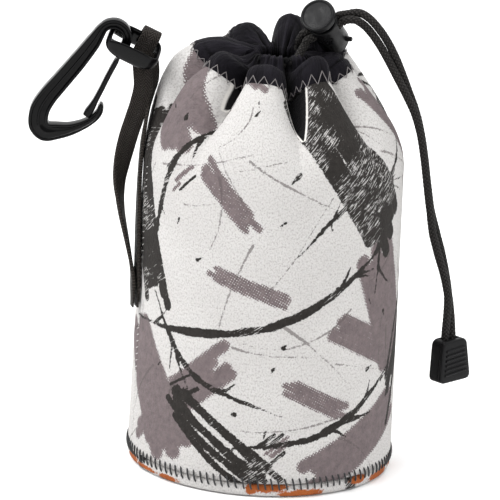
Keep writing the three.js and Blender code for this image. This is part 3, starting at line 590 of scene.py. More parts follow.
# The cord's free tail: two strands that turn round each other down to the cord end
TAIL_ROUTE = [
    (26.6, -2.7, 166.6), (29.9, -2.6, 165), (33.3, -2.8, 161.7), (36.4, -3, 157.6),
    (39.5, -3.2, 152.5), (42.7, -3.2, 146.3), (46, -3.1, 139.5), (49.1, -3, 132.7),
    (51.5, -2.8, 124.9), (53.3, -2.5, 116), (54.9, -2.3, 106), (56.6, -2, 96.1),
    (58.4, -1.7, 88.2), (60.6, -1.5, 80.8), (62.9, -1.3, 72.9), (64.6, -1.2, 65),
    (65.3, -1.1, 57.5), (65.6, -1, 50), (65.9, -1, 45),
]
TAIL_TWIST = [0, 0, 5, 14, 30, 50, 72, 84, 90, 90, 90, 88, 68, 66, 80, 88, 66, 41, 41]
TAIL_BLEND, TAIL_GAP = 4, 0.15


def strand_path(side):
    """The middle line of one strand, from the bore to inside the cord end."""
    middle = np.array([on_bore(TAIL_START, 0), on_bore(TAIL_START + 0.75, 0), *TAIL_ROUTE])
    spans = len(middle) - 1
    shares = np.linspace(0, 1, spans * 8 + 1)
    centre = catmull(middle, shares)
    along = tangents(centre)
    place = shares * spans
    twist = np.radians(between([0, 0, *TAIL_TWIST], place))[:, None]
    depth = unit(np.array([0, 1, 0]) - along * along[:, 1:2])
    flat = np.cross(along, depth)
    start = np.clip(1 - place / TAIL_BLEND, 0, 1)[:, None]
    near = np.clip(1.5 - place, 0, 1)[:, None]
    level = near * bore_across + (1 - near) * np.array([0, 1.0, 0])
    way = lerp(flat * np.cos(twist) + depth * np.sin(twist), level, smoothstep(start))
    way = unit(way - along * np.sum(way * along, -1, keepdims=True))
    return centre + way * side * lerp((CORD + TAIL_GAP) / 2, STRAND_OFFSET, start)


BRAID_PITCH, BRAID_STRANDS = 6.4, 8
BRAID_RELIEF, BRAID_SINK = 0.3, 0.24


def braid_bumps(run, turn):
    """Yarns that wind both ways and pass over and under each other."""
    half = BRAID_STRANDS / 2
    wound = 2 * math.pi * run / BRAID_PITCH * half / 2
    one, two = half * turn + wound, half * turn - wound
    over = np.cos(one - two) * 0.5 + 0.5
    yarn_one, yarn_two = (np.abs(np.cos(yarn)) ** 0.6 for yarn in (one, two))
    return BRAID_RELIEF * (yarn_one * over + yarn_two * (1 - over)) - BRAID_SINK


def braided(name, points, radius=CORD / 2, step=0.22, sides=28):
    verts, faces, uv = tube(even(points, step), radius, sides, bumps=braid_bumps)
    return make(name, verts, faces, uv, flip=True)


for side, label in ((-1, "front"), (1, "back")):
    path = strand_path(side)
    piece = braided(f"cord_tail_{label}", path)
    finish_piece(piece, mat_braid, "pouch", "braided_cord", f"drawstring_tail_{label}")

MOUTH_RING, MOUTH_HEIGHT = 9.9, 149.5


def on_pouch(radius, angle, height):
    """Points from cylinder coordinates: 0 degrees is the front, and 90 the right."""
    turn = np.radians(angle)
    return np.stack(np.broadcast_arrays(radius * np.sin(turn), -radius * np.cos(turn), height), -1)


FRONT_LEAD = [(8.89, -4.4, 155.88), (7.6, -5.8, 153.81), (6.31, -7.6, 151.64), (3.89, -9.2, 150.01)]
BACK_LEAD = [(7.59, -0.9, 157.81), (6.69, 0.7, 155.77), (6.91, 3.2, 153.47), (6.62, 6, 151.46),
             (4.49, 8.8, 150.04)]


def half_loop(side, lead, start_angle):
    """From the lock's outer face through its bore, then down its lead and half round the mouth."""
    bore = [on_bore(along, side) for along in (TAIL_START - CLEAR, 0, -6, -8)]
    angles_round = [lerp(start_angle, -90, k / 4) for k in range(5)]
    return [*bore, *lead, *(on_pouch(MOUTH_RING, angle, MOUTH_HEIGHT) for angle in angles_round)]


front_half, back_half = half_loop(-1, FRONT_LEAD, 0), half_loop(1, BACK_LEAD, -180)
loop = braided("cord_loop", np.array([*front_half, *back_half[:-1][::-1]]), step=0.3)
finish_piece(loop, mat_braid, "pouch", "braided_cord", "drawstring_loop")

# The pouch's own shape: the CAD source's pleats, finer. Each pleat has the angle of the valley before it,
# its crest's share of the crest radius, its rise, the fullness of its shoulder and the puff of its collar.
LOBES = np.array([
    (-38, 1, -0.3, 0.3, 0.95), (13, 0.98, 0.2, 0, 1.5), (55, 0.92, -0.2, 0, 1),
    (102, 0.94, 2.7, 0, 1.8), (146, 0.98, 5.3, 0.5, 1.75), (194, 1.02, 3.8, 1, 1.3),
    (235, 1.1, 3.6, 1, 0.8), (283, 1.04, 1.2, 0.8, 1.05),
])
LOBE_FULLNESS = 1.6
POUCH_RADIUS, SHOULDER_RADIUS, WALL = 47.2, 46.4, 3.8
SHOULDER_START, BASE_THICKNESS = 112, 4.8
WALL_FOOT = BASE_THICKNESS + CLEAR
CREST_HEIGHT, CREST_RADIUS, VALLEY_HEIGHT, VALLEY_RADIUS = 147.5, 28.5, 137, 15
COLLAR_THICKNESS, COLLAR_PUFF = 2.4, 5.4
SHOULDER_CREST = [(0, 0), (0.05, 0.18), (0.2, 0.4), (0.4, 0.58), (0.6, 0.73), (0.81, 0.88), (1, 1)]
SHOULDER_BULGE = [(0, 0), (0.03, 0.18), (0.1, 0.38), (0.2, 0.56), (0.34, 0.72), (0.58, 0.88), (1, 1)]
SHOULDER_VALLEY = [(0, 0), (0.06, 0.24), (0.18, 0.48), (0.36, 0.68), (0.56, 0.82), (0.78, 0.92), (1, 1)]
COLLAR_CREST = [(0, 0), (0.1, 0.4), (0.3, 0.8), (0.54, 1), (0.8, 0.72), (1, 0)]
COLLAR_ROLL = [(0, 0), (0.1, 0.75), (0.3, 0.92), (0.54, 0.3), (0.8, -0.3), (1, 0)]
COLLAR_VALLEY = [(0, 0), (0.25, 0.16), (0.52, 0.36), (0.76, 0.62), (0.92, 0.86), (1, 1)]


def spline(points, share):
    """A uniform Catmull-Rom curve in the plane, at an array of shares."""
    p = np.asarray(points, float)
    place = np.clip(share, 0, 1) * (len(p) - 1)
    index = np.minimum(np.floor(place).astype(int), len(p) - 2)
    t = (place - index)[..., None]
    p0, p1, p2, p3 = (p[np.clip(index + k, 0, len(p) - 1)] for k in (-1, 0, 1, 2))
    v0, v1 = (p2 - p0) * 0.5, (p3 - p1) * 0.5
    return ((2 * p1 - 2 * p2 + v0 + v1) * t ** 3 + (-3 * p1 + 3 * p2 - 2 * v0 - v1) * t ** 2 + v0 * t + p1)


def lobe_at(angle):
    """The pleat at an angle, the angle's share of it, and its weight: 0 in a valley, 1 on the crest."""
    start = LOBES[0, 0]
    turned_on = (angle - start) % 360 + start
    index = np.searchsorted(LOBES[:, 0], turned_on, side="right") - 1
    valleys = np.append(LOBES[:, 0], start + 360)
    share = (turned_on - valleys[index]) / (valleys[index + 1] - valleys[index])
    weight = 1 - (1 - np.sin(math.pi * share)) ** LOBE_FULLNESS
    return LOBES[index], share, weight


def shoulder_at(angle, share):
    """Radius and height on the shoulder, from the wall's top (0) to the neck (1)."""
    lobe, _, weight = lobe_at(angle)
    crest = lerp(spline(SHOULDER_CREST, share), spline(SHOULDER_BULGE, share), lobe[..., 3:4])
    valley = spline(SHOULDER_VALLEY, share)
    crest_height = CREST_HEIGHT + lobe[..., 2] * weight
    radius = lerp(lerp(SHOULDER_RADIUS, VALLEY_RADIUS, valley[..., 0]),
                  lerp(SHOULDER_RADIUS, CREST_RADIUS * lobe[..., 1], crest[..., 0]), weight)
    height = lerp(lerp(SHOULDER_START, VALLEY_HEIGHT, valley[..., 1]),
                  lerp(SHOULDER_START, crest_height, crest[..., 1]), weight)
    return np.stack([radius, height], -1)


# The lobes near the back are broader and fuller than the rest, and those in front roll over early
BROAD_MIDDLE, BROAD_REACH = 170, 34
LOBE_ARCH, BROAD_ARCH = 2.15, 3.4
LOBE_DOME, BROAD_DOME = 0.8, 0.55
ROLL_MIDDLE, ROLL_EDGE, ROLL_BLEND = 5, 0.05, 0.6


def collar_at(angle, share):
    """Radius and height on the collar, from the neck (0) to the mouth (1)."""
    lobe, place, weight = lobe_at(angle)
    full = smoothstep(1 - np.abs((angle - BROAD_MIDDLE + 180) % 360 - 180) / BROAD_REACH)
    arch = np.clip(np.sin(math.pi * place), 0, 1)
    broad = 1 - (1 - arch) ** lerp(LOBE_ARCH, BROAD_ARCH, full)
    weight = lerp(weight, broad, smoothstep(share * 3))
    crest, valley = spline(COLLAR_CREST, share), spline(COLLAR_VALLEY, share)
    crest_height = CREST_HEIGHT + lobe[..., 2] * weight
    radius = lerp(lerp(VALLEY_RADIUS, MOUTH_RING, valley[..., 0]),
                  lerp(CREST_RADIUS * lobe[..., 1], MOUTH_RING, crest[..., 0]), weight)
    # a lobe that rolls over dips before the mouth; the others stand up
    early = smoothstep((np.cos(np.radians(angle - ROLL_MIDDLE)) - ROLL_EDGE) / ROLL_BLEND)
    rise = lerp(crest[..., 1], spline(COLLAR_ROLL, share)[..., 1], early)
    dome = arch ** lerp(LOBE_DOME, BROAD_DOME, full)
    height = lerp(lerp(VALLEY_HEIGHT, MOUTH_HEIGHT, valley[..., 1]),
                  lerp(crest_height, MOUTH_HEIGHT, share), weight) + COLLAR_PUFF * lobe[..., 4] * rise * dome
    return np.stack([radius, height], -1)


SHARE_STEP, ANGLE_STEP = 0.02, 0.8  # how far to each side a surface is read to find its slope
SLANT_LIMIT = 1.5


def normal_of(surface, angle, share):
    """The outward way across a surface's meridian, as radius and height."""
    above, below = np.minimum(share + SHARE_STEP, 1), np.maximum(share - SHARE_STEP, 0)
    onward = unit(surface(angle, above) - surface(angle, below))
    return np.stack([onward[..., 1], -onward[..., 0]], -1)


def slant_of(surface, angle, share):
    """How much thicker a wall lies where the surface runs aslant between a crest and a valley."""
    side = surface(angle + ANGLE_STEP, share) - surface(angle - ANGLE_STEP, share)
    width = 2 * math.radians(ANGLE_STEP) * surface(angle, share)[..., 0]
    steep = np.sum(side * normal_of(surface, angle, share), -1) / width
    return np.minimum(np.hypot(1, steep), SLANT_LIMIT)


SEAM_ANGLE = -75
COLUMNS = 600
WALL_ROWS, SHOULDER_ROWS = 190, 90
angles = np.linspace(-180, 180, COLUMNS, endpoint=False)

# Folds that run down from the neck: the angle and share of the tip, both edges at the neck, and the depth
FOLDS = [(15.5, 0.46, 6.5, 22.5, 3.4), (94, 0.6, 90, 98, 1.8), (-40, 0.72, -43, -36, 1.6)]
FOLD_RADIUS = 34
FOLD_TAPER, FOLD_EDGE, FOLD_RUN_OUT = 0.8, 1.6, 2.5
FAR_OUTSIDE = -9.0


def fold_depth(angle, share):
    """Millimetres inside the nearest fold's left edge or right edge, and how deep it lies."""
    inside = np.full(np.shape(angle), FAR_OUTSIDE)
    depth = np.zeros(np.shape(angle))
    for tip, low, left, right, deep in FOLDS:
        t = np.clip((share - low) / (1 - low), 0, 1)
        a, b = lerp(tip, left, t ** FOLD_TAPER), lerp(tip, right, t ** FOLD_TAPER)
        gap = np.radians(np.minimum(angle - a, b - angle)) * FOLD_RADIUS
        gap = np.where(share < low, FAR_OUTSIDE, gap)
        inside = np.maximum(inside, gap)
        depth = np.maximum(depth, smoothstep(gap / FOLD_EDGE) * deep * smoothstep(t * FOLD_RUN_OUT))
    return inside, depth


# How far the shell's surface stands out or sinks in, and how wide each groove and lip is
SAG, FAN_CREASE = 0.45, 0.42
TUCK_DEPTH, TUCK_WIDTH = 0.5, 1.1
GROOVE_DEPTH, GROOVE_WIDTH, GROOVE_TOP = 0.4, 0.55, 1.6
FOLD_LIMIT, LIP_HEIGHT, LIP_PLACE, LIP_WIDTH = 2.6, 0.25, 0.5, 0.6
INNER_WALL = 0.97  # the inner face keeps this share of the wall's thickness


def pouch_shell():
    """The tube and its pleated shoulder: one closed shell, its outer rows first."""
    all_rows = WALL_ROWS + SHOULDER_ROWS
    sag = band_noise(COLUMNS, all_rows, 26, 30)
    A, L = np.meshgrid(angles, np.linspace(0, 1, WALL_ROWS))
    A2, S = np.meshgrid(angles, np.linspace(0, 1, SHOULDER_ROWS + 1)[1:])
    shoulder, normal = shoulder_at(A2, S), normal_of(shoulder_at, A2, S)
    radius = np.vstack([lerp(POUCH_RADIUS, SHOULDER_RADIUS, L), shoulder[..., 0]])
    height = np.vstack([lerp(WALL_FOOT, SHOULDER_START, L), shoulder[..., 1]])
    every = np.vstack([A, A2])
    normal_r = np.vstack([np.ones_like(L), normal[..., 0]])
    normal_z = np.vstack([np.zeros_like(L), normal[..., 1]])
    # run is 0 to 1 up the wall and 1 to 2 up the shoulder
    run = np.vstack([L, 1 + S])
    soften = smoothstep(run * 4) * smoothstep((2 - run) * 6)
    lift = SAG * sag * soften
    # creases that fan down from the gathers
    fan = band_noise(COLUMNS, all_rows, 4.2, 60)
    fan_share = smoothstep((run - 0.72) / 0.6) * smoothstep((2.02 - run) / 0.25)
    lift = lift + FAN_CREASE * fan * fan_share
    # the tucked edge over the whip stitch
    lift = lift - TUCK_DEPTH * np.exp(-((height - WALL_FOOT) / TUCK_WIDTH) ** 2)
    # the side seam's groove
    from_seam = (every - SEAM_ANGLE) * math.radians(POUCH_RADIUS)
    lift = lift - GROOVE_DEPTH * np.exp(-(from_seam / GROOVE_WIDTH) ** 2) * (run <= GROOVE_TOP)
    inside, depth = fold_depth(every, run - 1)
    lip = LIP_HEIGHT * np.exp(-((inside + LIP_PLACE) / LIP_WIDTH) ** 2)
    lift = lift - np.minimum(depth, FOLD_LIMIT) + lip
    radius, height = radius + normal_r * lift, height + normal_z * lift
    outer = on_pouch(radius, every, height)
    # the inner face has fewer rows
    kept = sorted({*range(0, WALL_ROWS, 9), *range(WALL_ROWS, all_rows, 4), all_rows - 1})
    depth = np.vstack([np.full_like(L, WALL), WALL * slant_of(shoulder_at, A2, S)])[kept] * INNER_WALL
    inner = on_pouch(radius[kept] - normal_r[kept] * depth, every[kept],
                     height[kept] - normal_z[kept] * depth)
    verts = np.concatenate([outer, inner[::-1]], 0)
    rows = len(verts)
    faces = grid_faces(rows, COLUMNS, close_rows=True, close_columns=True)
    # flat coordinates: round the pouch and up its meridian
    climb = climb_of(outer)
    u = np.repeat(np.radians(angles)[None, :] * POUCH_RADIUS, rows, 0)
    v = np.concatenate([climb, climb[kept][::-1]])[:, None] * np.ones((1, COLUMNS))
    uv = np.stack([u, v], -1).reshape(-1, 2)
    return verts.reshape(-1, 3), faces, uv, len(outer), inside


def stroke_share(flat, points, widths, soft):
    """How far inside a stroke each flat point lies: 1 inside, 0 outside, soft between."""
    best = np.full(len(flat), -1e9)
    for a, b, wa, wb in zip(points, points[1:], widths, widths[1:]):
        along = b - a
        t = np.clip(((flat - a) @ along) / max(along @ along, 1e-9), 0, 1)
        gap = np.linalg.norm(flat - a - t[:, None] * along, axis=1)
        best = np.maximum(best, lerp(wa, wb, t) - gap)
    return np.clip(0.5 + best / (2 * soft), 0, 1)


def stroke_field(uv, points, widths, soft):
    """A stroke's share at each point of the wall, where the print closes on itself."""
    points = np.asarray(points, float)
    reach = max(widths) + soft + 1
    low, high = points.min(0) - reach, points.max(0) + reach
    field = np.zeros(len(uv))
    for lap in (-1, 0, 1):
        here = uv + (lap * 2 * math.pi * POUCH_RADIUS, 0)
        near = np.where(np.all((here > low) & (here < high), axis=1))[0]
        if len(near):
            field[near] = np.maximum(field[near], stroke_share(here[near], points, widths, soft))
    return field


def twig(draw, start, heading, length, width, bend, steps=12):
    """A wandering line with a width that tapers."""
    points, widths = [np.array(start, float)], [width]
    way = heading
    for k in range(steps):
        way += bend / steps + draw.normal(0, 0.06)
        points.append(points[-1] + length / steps * np.array([math.cos(way), math.sin(way)]))
        widths.append(width * (1 - 0.8 * (k + 1) / steps) * (1 + draw.normal(0, 0.12)))
    return points, widths


# The print's tables, on the wall laid flat: two ends and a half width for each patch and shadow,
# three points and a half width for each arc
BARK_PATCHES = [
    ((14, 152), (50, 90), 13), ((-72, 124), (-48, 62), 9), ((-34, 27), (0, 3), 6), ((76, 60), (60, 28), 6),
    ((104, 130), (84, 74), 12), ((146, 84), (170, 34), 11), ((-118, 150), (-142, 92), 12),
    ((-100, 40), (-84, 6), 8),
]
ARCS = [
    ((-62, 50), (0, 58), (56, 90), 1.5), ((-22, 142), (-44, 104), (-50, 66), 1.3),
    ((-12, 12), (24, 18), (60, 38), 1.4), ((66, 120), (50, 104), (46, 66), 1.3),
    ((-50, 66), (-30, 40), (8, 26), 1.1), ((70, 24), (96, 44), (128, 46), 1.5),
    ((84, 146), (120, 112), (140, 60), 1.4), ((-146, 40), (-112, 66), (-66, 72), 1.5),
    ((-136, 20), (-100, 22), (-64, 44), 1.2), ((-90, 148), (-84, 108), (-104, 70), 1.3),
    ((10, 84), (28, 100), (56, 108), 0.9),
]
ARC_POINTS, ARC_TWIGS = 33, 5
PATCH_STROKES, SHADOW_STROKES = 9, 5
HATCHINGS, FINE_LINES, FLECKS = 9, 60, 60
MAUVE_SHADOWS = [
    ((-60, 44), (-34, 8), 10), ((-48, 14), (-12, 46), 6), ((-66, 156), (-42, 124), 11),
    ((46, 80), (62, 40), 10), ((26, 58), (54, 44), 5), ((60, 22), (20, 2), 7), ((-16, 75), (10, 67), 2.4),
    ((-8, 96), (-26, 114), 3.4), ((62, 140), (78, 112), 6), ((10, 36), (30, 26), 3), ((92, 20), (120, 10), 7),
    ((110, 90), (134, 110), 6), ((-96, 120), (-78, 96), 6), ((-130, 60), (-110, 30), 7),
    ((150, 130), (176, 112), 7), ((-30, 160), (-10, 150), 4),
]


def print_fields(uv):
    """A plain all-over brush print: bark patches, long arcs, mauve shadows, hatching and flecks."""
    draw = np.random.default_rng(17)
    dark, haze, line = (np.zeros(len(uv)) for _ in range(3))
    half = math.pi * POUCH_RADIUS

    def add(field, points, widths, soft, share=1.0):
        np.maximum(field, stroke_field(uv, points, widths, soft) * share, out=field)

    # broad bark patches, filled by strokes side by side
    for start, stop, width in BARK_PATCHES:
        start, stop = np.array(start, float), np.array(stop, float)
        way = unit(stop - start)
        cross = np.array([-way[1], way[0]])
        for k in range(PATCH_STROKES):
            off = (k - 4) / 4 * width * 0.86
            a = start + cross * off + way * draw.normal(0, 3.5)
            b = stop + cross * off * draw.uniform(0.8, 1.05) + way * draw.normal(0, 4.5)
            middle = (a + b) / 2 + cross * draw.normal(0, 1.2)
            add(dark, catmull([a, middle, b], np.linspace(0, 1, 9)), [width * 0.2] * 9, 1.0)
    # long arcs with their twigs
    for *knots, width in ARCS:
        pts = catmull(knots, np.linspace(0, 1, ARC_POINTS))
        pts = pts + np.cumsum(draw.normal(0, 0.16, pts.shape), 0)
        swell = np.clip(np.sin(np.linspace(0, math.pi, ARC_POINTS)), 0.25, 1)
        add(dark, pts, width * (swell * (1 + draw.normal(0, 0.18, ARC_POINTS))), 0.9)
        for _ in range(ARC_TWIGS):
            k = draw.integers(2, 30)
            onward = pts[k + 1] - pts[k]
            way = math.atan2(onward[1], onward[0]) + draw.choice((-1, 1)) * draw.uniform(0.25, 0.8)
            add(dark, *twig(draw, pts[k], way, draw.uniform(5, 15), width * 0.6, draw.normal(0, 0.3), 6), 0.8)
    for a, b, width in MAUVE_SHADOWS:
        a, b = np.array(a, float), np.array(b, float)
        cross = unit(np.array([-(b - a)[1], (b - a)[0]]))
        for k in range(SHADOW_STROKES):
            off = cross * (k - 2) / 2 * width * 0.8
            slip = (b - a) * draw.normal(0, 0.1)
            add(haze, [a + off + slip, b + off + slip], [width * 0.3, width * 0.34], 1.1)
    # hatching: short strokes side by side
    for _ in range(HATCHINGS):
        spot = np.array([draw.uniform(-half, half), draw.uniform(4, 150)])
        way = draw.choice((-1, 1)) * draw.uniform(0.55, 0.95)
        step = np.array([math.cos(way), math.sin(way)])
        across = np.array([-step[1], step[0]])
        for k in range(draw.integers(3, 7)):
            a = spot + across * k * 1.9 + step * draw.normal(0, 1.5)
            field = dark if draw.random() < 0.5 else haze
            add(field, [a, a + step * draw.uniform(4, 12)], [draw.uniform(0.4, 0.8)] * 2, 0.7)

    def stray(length, width, bend, steps):
        """A twig that starts anywhere and heads anywhere."""
        start = (draw.uniform(-half, half), draw.uniform(0, 165))
        heading = draw.uniform(0, 2 * math.pi)
        sizes = draw.uniform(*length), draw.uniform(*width)
        return twig(draw, start, heading, *sizes, draw.normal(0, bend) if bend else 0, steps)

    # faint fine lines, then flecks
    for _ in range(FINE_LINES):
        pts, widths = stray((12, 52), (0.3, 0.6), 0.5, 8)
        add(line, pts, [max(w, 0.22) for w in widths], 0.7)
    for _ in range(FLECKS):
        add(dark, *stray((1, 5), (0.4, 1.1), 0, 3), 0.8, 0.9)
    return dark, haze, line


def point_field(piece, name, values):
    """Stores a value, or a colour, for each vertex."""
    values = np.asarray(values, np.float32)
    kind, key = ("FLOAT_COLOR", "color") if values.ndim > 1 else ("FLOAT", "value")
    piece.data.attributes.new(name, kind, "POINT").data.foreach_set(key, values.ravel())


def store_fields(piece, dark, haze, line, **others):
    none = np.zeros(len(dark))
    point_field(piece, "print_fields", np.column_stack([dark, haze, line, none + 1]))
    for name in ("rust_field", "fold_field"):
        point_field(piece, name, others.get(name, none))


verts, faces, uv, outer_rows, inside = pouch_shell()
shell = outward(make("pouch_wall", verts, faces, uv))
shown = outer_rows * COLUMNS
fields = np.zeros((4, len(verts)))
# the fourth field marks the folds below the neck, which the print paints black: the black fabric inside, and
# painted shade
fields[:, :shown] = *print_fields(uv[:shown]), np.clip(0.5 + inside.ravel() / 6, 0, 1)
store_fields(shell, *fields[:3], fold_field=fields[3])
finish_piece(shell, mat_print, "pouch", "printed_neoprene", "side_wall")

BASE_SEGMENTS = 360


def base_disc():
    """The base panel, with a turned-up rim and its own share of the print."""
    foot, rim, top = POUCH_RADIUS - 3.4, POUCH_RADIUS - 0.15, BASE_THICKNESS - 0.1
    corners = [(0, 0), (foot, 0), (rim, 0.5), (rim + 0.1, BASE_THICKNESS - 1.2), (rim - 0.9, top)]
    profile = rounded(corners, 2.4, 8)
    fine = [profile[0]]
    for a, b in zip(profile, profile[1:]):
        parts = max(1, int(np.linalg.norm(b - a) / 1.2))
        fine += [lerp(a, b, (k + 1) / parts) for k in range(parts)]
    fine.append((0, top))
    verts, faces = turned(fine, BASE_SEGMENTS)
    turn = np.arctan2(verts[:, 0], -verts[:, 1])
    run = run_along(np.array(fine))
    climb = np.repeat(run, [1 if f[0] < TINY else BASE_SEGMENTS for f in fine])
    uv = np.column_stack([turn * POUCH_RADIUS, climb - run[-2]])
    piece = outward(make("base_disc", verts, faces, uv))
    draw = np.random.default_rng(5)
    dark, haze, line, rust = (np.zeros(len(verts)) for _ in range(4))
    for _ in range(9):
        pts, widths = twig(draw, draw.uniform(-40, 40, 2), draw.uniform(0, 6.3), draw.uniform(30, 60),
                           draw.uniform(1, 5), draw.normal(0, 0.4))
        np.maximum(dark, stroke_share(verts[:, :2], pts, widths, 1.4), out=dark)
    # rust spots round the rim
    for _ in range(20):
        angle = draw.uniform(0, 360)
        middle = POUCH_RADIUS * math.radians(angle if angle < 180 else angle - 360), draw.uniform(-4, -1)
        long, tall = draw.uniform(1.6, 7.5), draw.uniform(0.9, 2.2)
        away = np.hypot((uv[:, 0] - middle[0]) / long, (uv[:, 1] - middle[1]) / tall)
        rust = np.maximum(rust, np.clip(1.1 - away * 0.55, 0, 1) * (verts[:, 2] > 0.3))
    store_fields(piece, dark, haze, line, rust_field=rust)
    return piece


finish_piece(base_disc(), mat_print, "pouch", "printed_neoprene", "base_panel")

# The collar: stretch fabric with fine gathers between the neck's edge and the cord
COLLAR_COLUMNS, COLLAR_ROWS = 720, 56
COLLAR_FLAT_RADIUS = 22
HEM_RADIUS = CORD / 2 + CLEAR + 1.05
HEM_TURNS = (20, 45, 70, 90, 110, 135, 160)
HEM_SHARE = 0.75  # where along its run the collar starts to swell round the cord
CRINKLE, RIBS, PUFFS = 0.7, 1.6, 0.9
CREASES = [(0.3, 1.1), (0.48, 1.5), (0.66, 1.2)]  # share of the run, and depth
CREASE_WIDTH, CREASE_WANDER = 0.035, 0.07
DEEPEST_FOLD, DEEPEST_AT_HEM = -4, -0.95
# The lock's room in its own frame: how far it slides, where its cap starts, its foot and its top
LOCK_SLIDE, CAP_START, ROOM_FOOT, ROOM_TOP = 1.5, 14.6, 1.2, 23.5
ROOM_GAP, ROOM_EASE, ROOM_FADE = 0.45, 0.8, 1.5


def clear_of_lock(verts):
    """Eases fabric away from the space that the lock needs when it slides and is pressed."""
    local = (verts - LOCK_BOTTOM) @ np.column_stack([bore_way, bore_across, lock_up])
    x, y, z = local[..., 0], local[..., 1], local[..., 2]
    off = x - np.clip(x, -LOCK_SLIDE, 0)
    r = np.maximum(np.hypot(off, y), TINY)
    need = np.where(z > CAP_START, CAP_RADIUS, LOCK_RADIUS) + ROOM_GAP
    eased = need + 0.5 * (r - need + np.hypot(r - need, ROOM_EASE))
    within = smoothstep((z + ROOM_FOOT) / ROOM_FOOT), smoothstep((ROOM_TOP - z) / ROOM_FADE)
    push = (eased - r) * within[0] * within[1]
    way = (off / r)[..., None] * bore_way + (y / r)[..., None] * bore_across
    return verts + way * push[..., None]


def collar():
    """Stretch fabric from the neck's edge up over the lobes, round the cord and back down inside."""
    size = COLLAR_COLUMNS, COLLAR_ROWS
    around = np.linspace(-180, 180, COLLAR_COLUMNS, endpoint=False)
    A, S = np.meshgrid(around, np.linspace(0, 1, COLLAR_ROWS))
    face = collar_at(A, S)
    normal = normal_of(collar_at, A, S)
    swell = np.maximum(0, (S - HEM_SHARE) / (1 - HEM_SHARE))
    crinkle = band_noise(*size, 2.2, 14)
    broad = band_noise(*size, 7, 10)
    back = 0.5 - 0.5 * np.cos(np.radians(A - 20))
    ribs = band_noise(*size, 3.4, 9)
    inward = smoothstep((S - 0.35) / 0.4)
    _, _, weight = lobe_at(A)
    wander = band_noise(*size, 26, 60)
    creases = 0
    for spot, deep in CREASES:
        across = np.exp(-((S - spot - CREASE_WANDER * wander) / CREASE_WIDTH) ** 2)
        creases = creases + deep * across * smoothstep(band_noise(*size, 16, 4) * 2.2)
    fine = CRINKLE * crinkle * (0.35 + 0.65 * back) + RIBS * ribs * inward - creases * weight
    folds = np.maximum((fine + PUFFS * broad) * smoothstep(S * 6), lerp(DEEPEST_FOLD, DEEPEST_AT_HEM, swell))
    outer = face + normal * (folds + lerp(0, HEM_RADIUS, swell))[..., None]
    inner = face - normal * (lerp(COLLAR_THICKNESS, HEM_RADIUS, swell) - folds * 0.5)[..., None]
    # the hem turns over the cord
    centre, turn = face[-1], normal[-1]
    onward = np.stack([-turn[..., 1], turn[..., 0]], -1)
    cap = []
    for d in HEM_TURNS:
        reach = (HEM_RADIUS + lerp(folds[-1], -0.5 * folds[-1], d / 180))[..., None]
        cap.append(centre + reach * (turn * math.cos(math.radians(d)) + onward * math.sin(math.radians(d))))
    rows = np.concatenate([outer, np.array(cap), inner[::-1]], 0)
    every = np.repeat(around[None, :], len(rows), 0)
    verts = clear_of_lock(on_pouch(rows[..., 0], every, rows[..., 1]))
    climb = climb_of(verts)[:, None] * np.ones((1, COLLAR_COLUMNS))
    # painted shade stored for the knit: lighter on the gathers' ridges, darker in their creases and down in
    # the valleys between lobes
    crease_shading = 0.5 + 0.42 * (fine + 0.35 * broad) - 0.45 * (1 - weight) ** 2 * smoothstep(S * 4)
    crease_shading = np.concatenate([crease_shading, np.repeat(crease_shading[-1:], len(cap), 0), crease_shading[::-1]], 0)
    uv = np.stack([np.radians(every) * COLLAR_FLAT_RADIUS, climb], -1).reshape(-1, 2)
    faces = grid_faces(len(rows), COLLAR_COLUMNS, close_rows=True, close_columns=True)
    piece = make("collar_fabric", verts.reshape(-1, 3), faces, uv)
    point_field(piece, "fold_field", crease_shading.ravel())
    return outward(piece)


finish_piece(collar(), mat_collar, "pouch", "stretch_fabric", "collar")


def threads(name, paths, radius, sides=6):
    """Many short threads as one piece."""
    all_verts, all_faces, all_uv, shift = [], [], [], 0
    for path in paths:
        verts, faces, uv = tube(np.asarray(path, float), radius, sides)
        all_verts.append(verts)
        all_faces += [[i + shift for i in face] for face in faces]
        all_uv.append(uv)
        shift += len(verts)
    return make(name, np.vstack(all_verts), all_faces, np.vstack(all_uv), flip=True)


STITCHES, STITCH_SLANT = 114, 1.55
STITCH_PROFILE = [(46.75, 2.9), (47.35, 3.8), (47.5, 5.2), (47.35, 6.5), (46.8, 7.4)]  # radius and height


def whip_stitch():
    """Slanted stitches over the join of the base and the wall."""
    paths = []
    draw = np.random.default_rng(3)
    for k in range(STITCHES):
        angle = 360 * k / STITCHES + draw.normal(0, 0.12)
        slant = STITCH_SLANT + draw.normal(0, 0.12)
        path = [on_pouch(radius, angle + slant * (0.5 - step / 4), height)
                for step, (radius, height) in enumerate(STITCH_PROFILE)]
        paths.append(catmull(path, np.linspace(0, 1, 11)))
    return threads("base_whip_stitch", paths, 0.33, 8)


finish_piece(whip_stitch(), mat_black_thread, "pouch", "braided_cord")


SEAM_FOOT, SEAM_TOP, SEAM_PITCH, SEAM_STITCH = 9, 110, 2.4, 0.9


def side_seam():
    """Short stitches that cross the seam down the tube's left side."""
    draw = np.random.default_rng(8)
    paths = []
    for height in np.arange(SEAM_FOOT, SEAM_TOP, SEAM_PITCH):
        radius = lerp(POUCH_RADIUS, SHOULDER_RADIUS, (height - WALL_FOOT) / (SHOULDER_START - WALL_FOOT))
        lean = SEAM_STITCH + draw.normal(0, 0.06)
        steps = ((-lean, -0.2), (-lean * 0.5, 0.12), (0, 0.1), (lean * 0.5, 0.12), (lean, -0.2))
        path = [on_pouch(radius + lift, SEAM_ANGLE + math.degrees(side / radius), height + side * 0.5)
                for side, lift in steps]
        paths.append(catmull(path, np.linspace(0, 1, 9)))
    return threads("side_seam_thread", paths, 0.13)


finish_piece(side_seam(), mat_pale_thread, "pouch", "braided_cord")


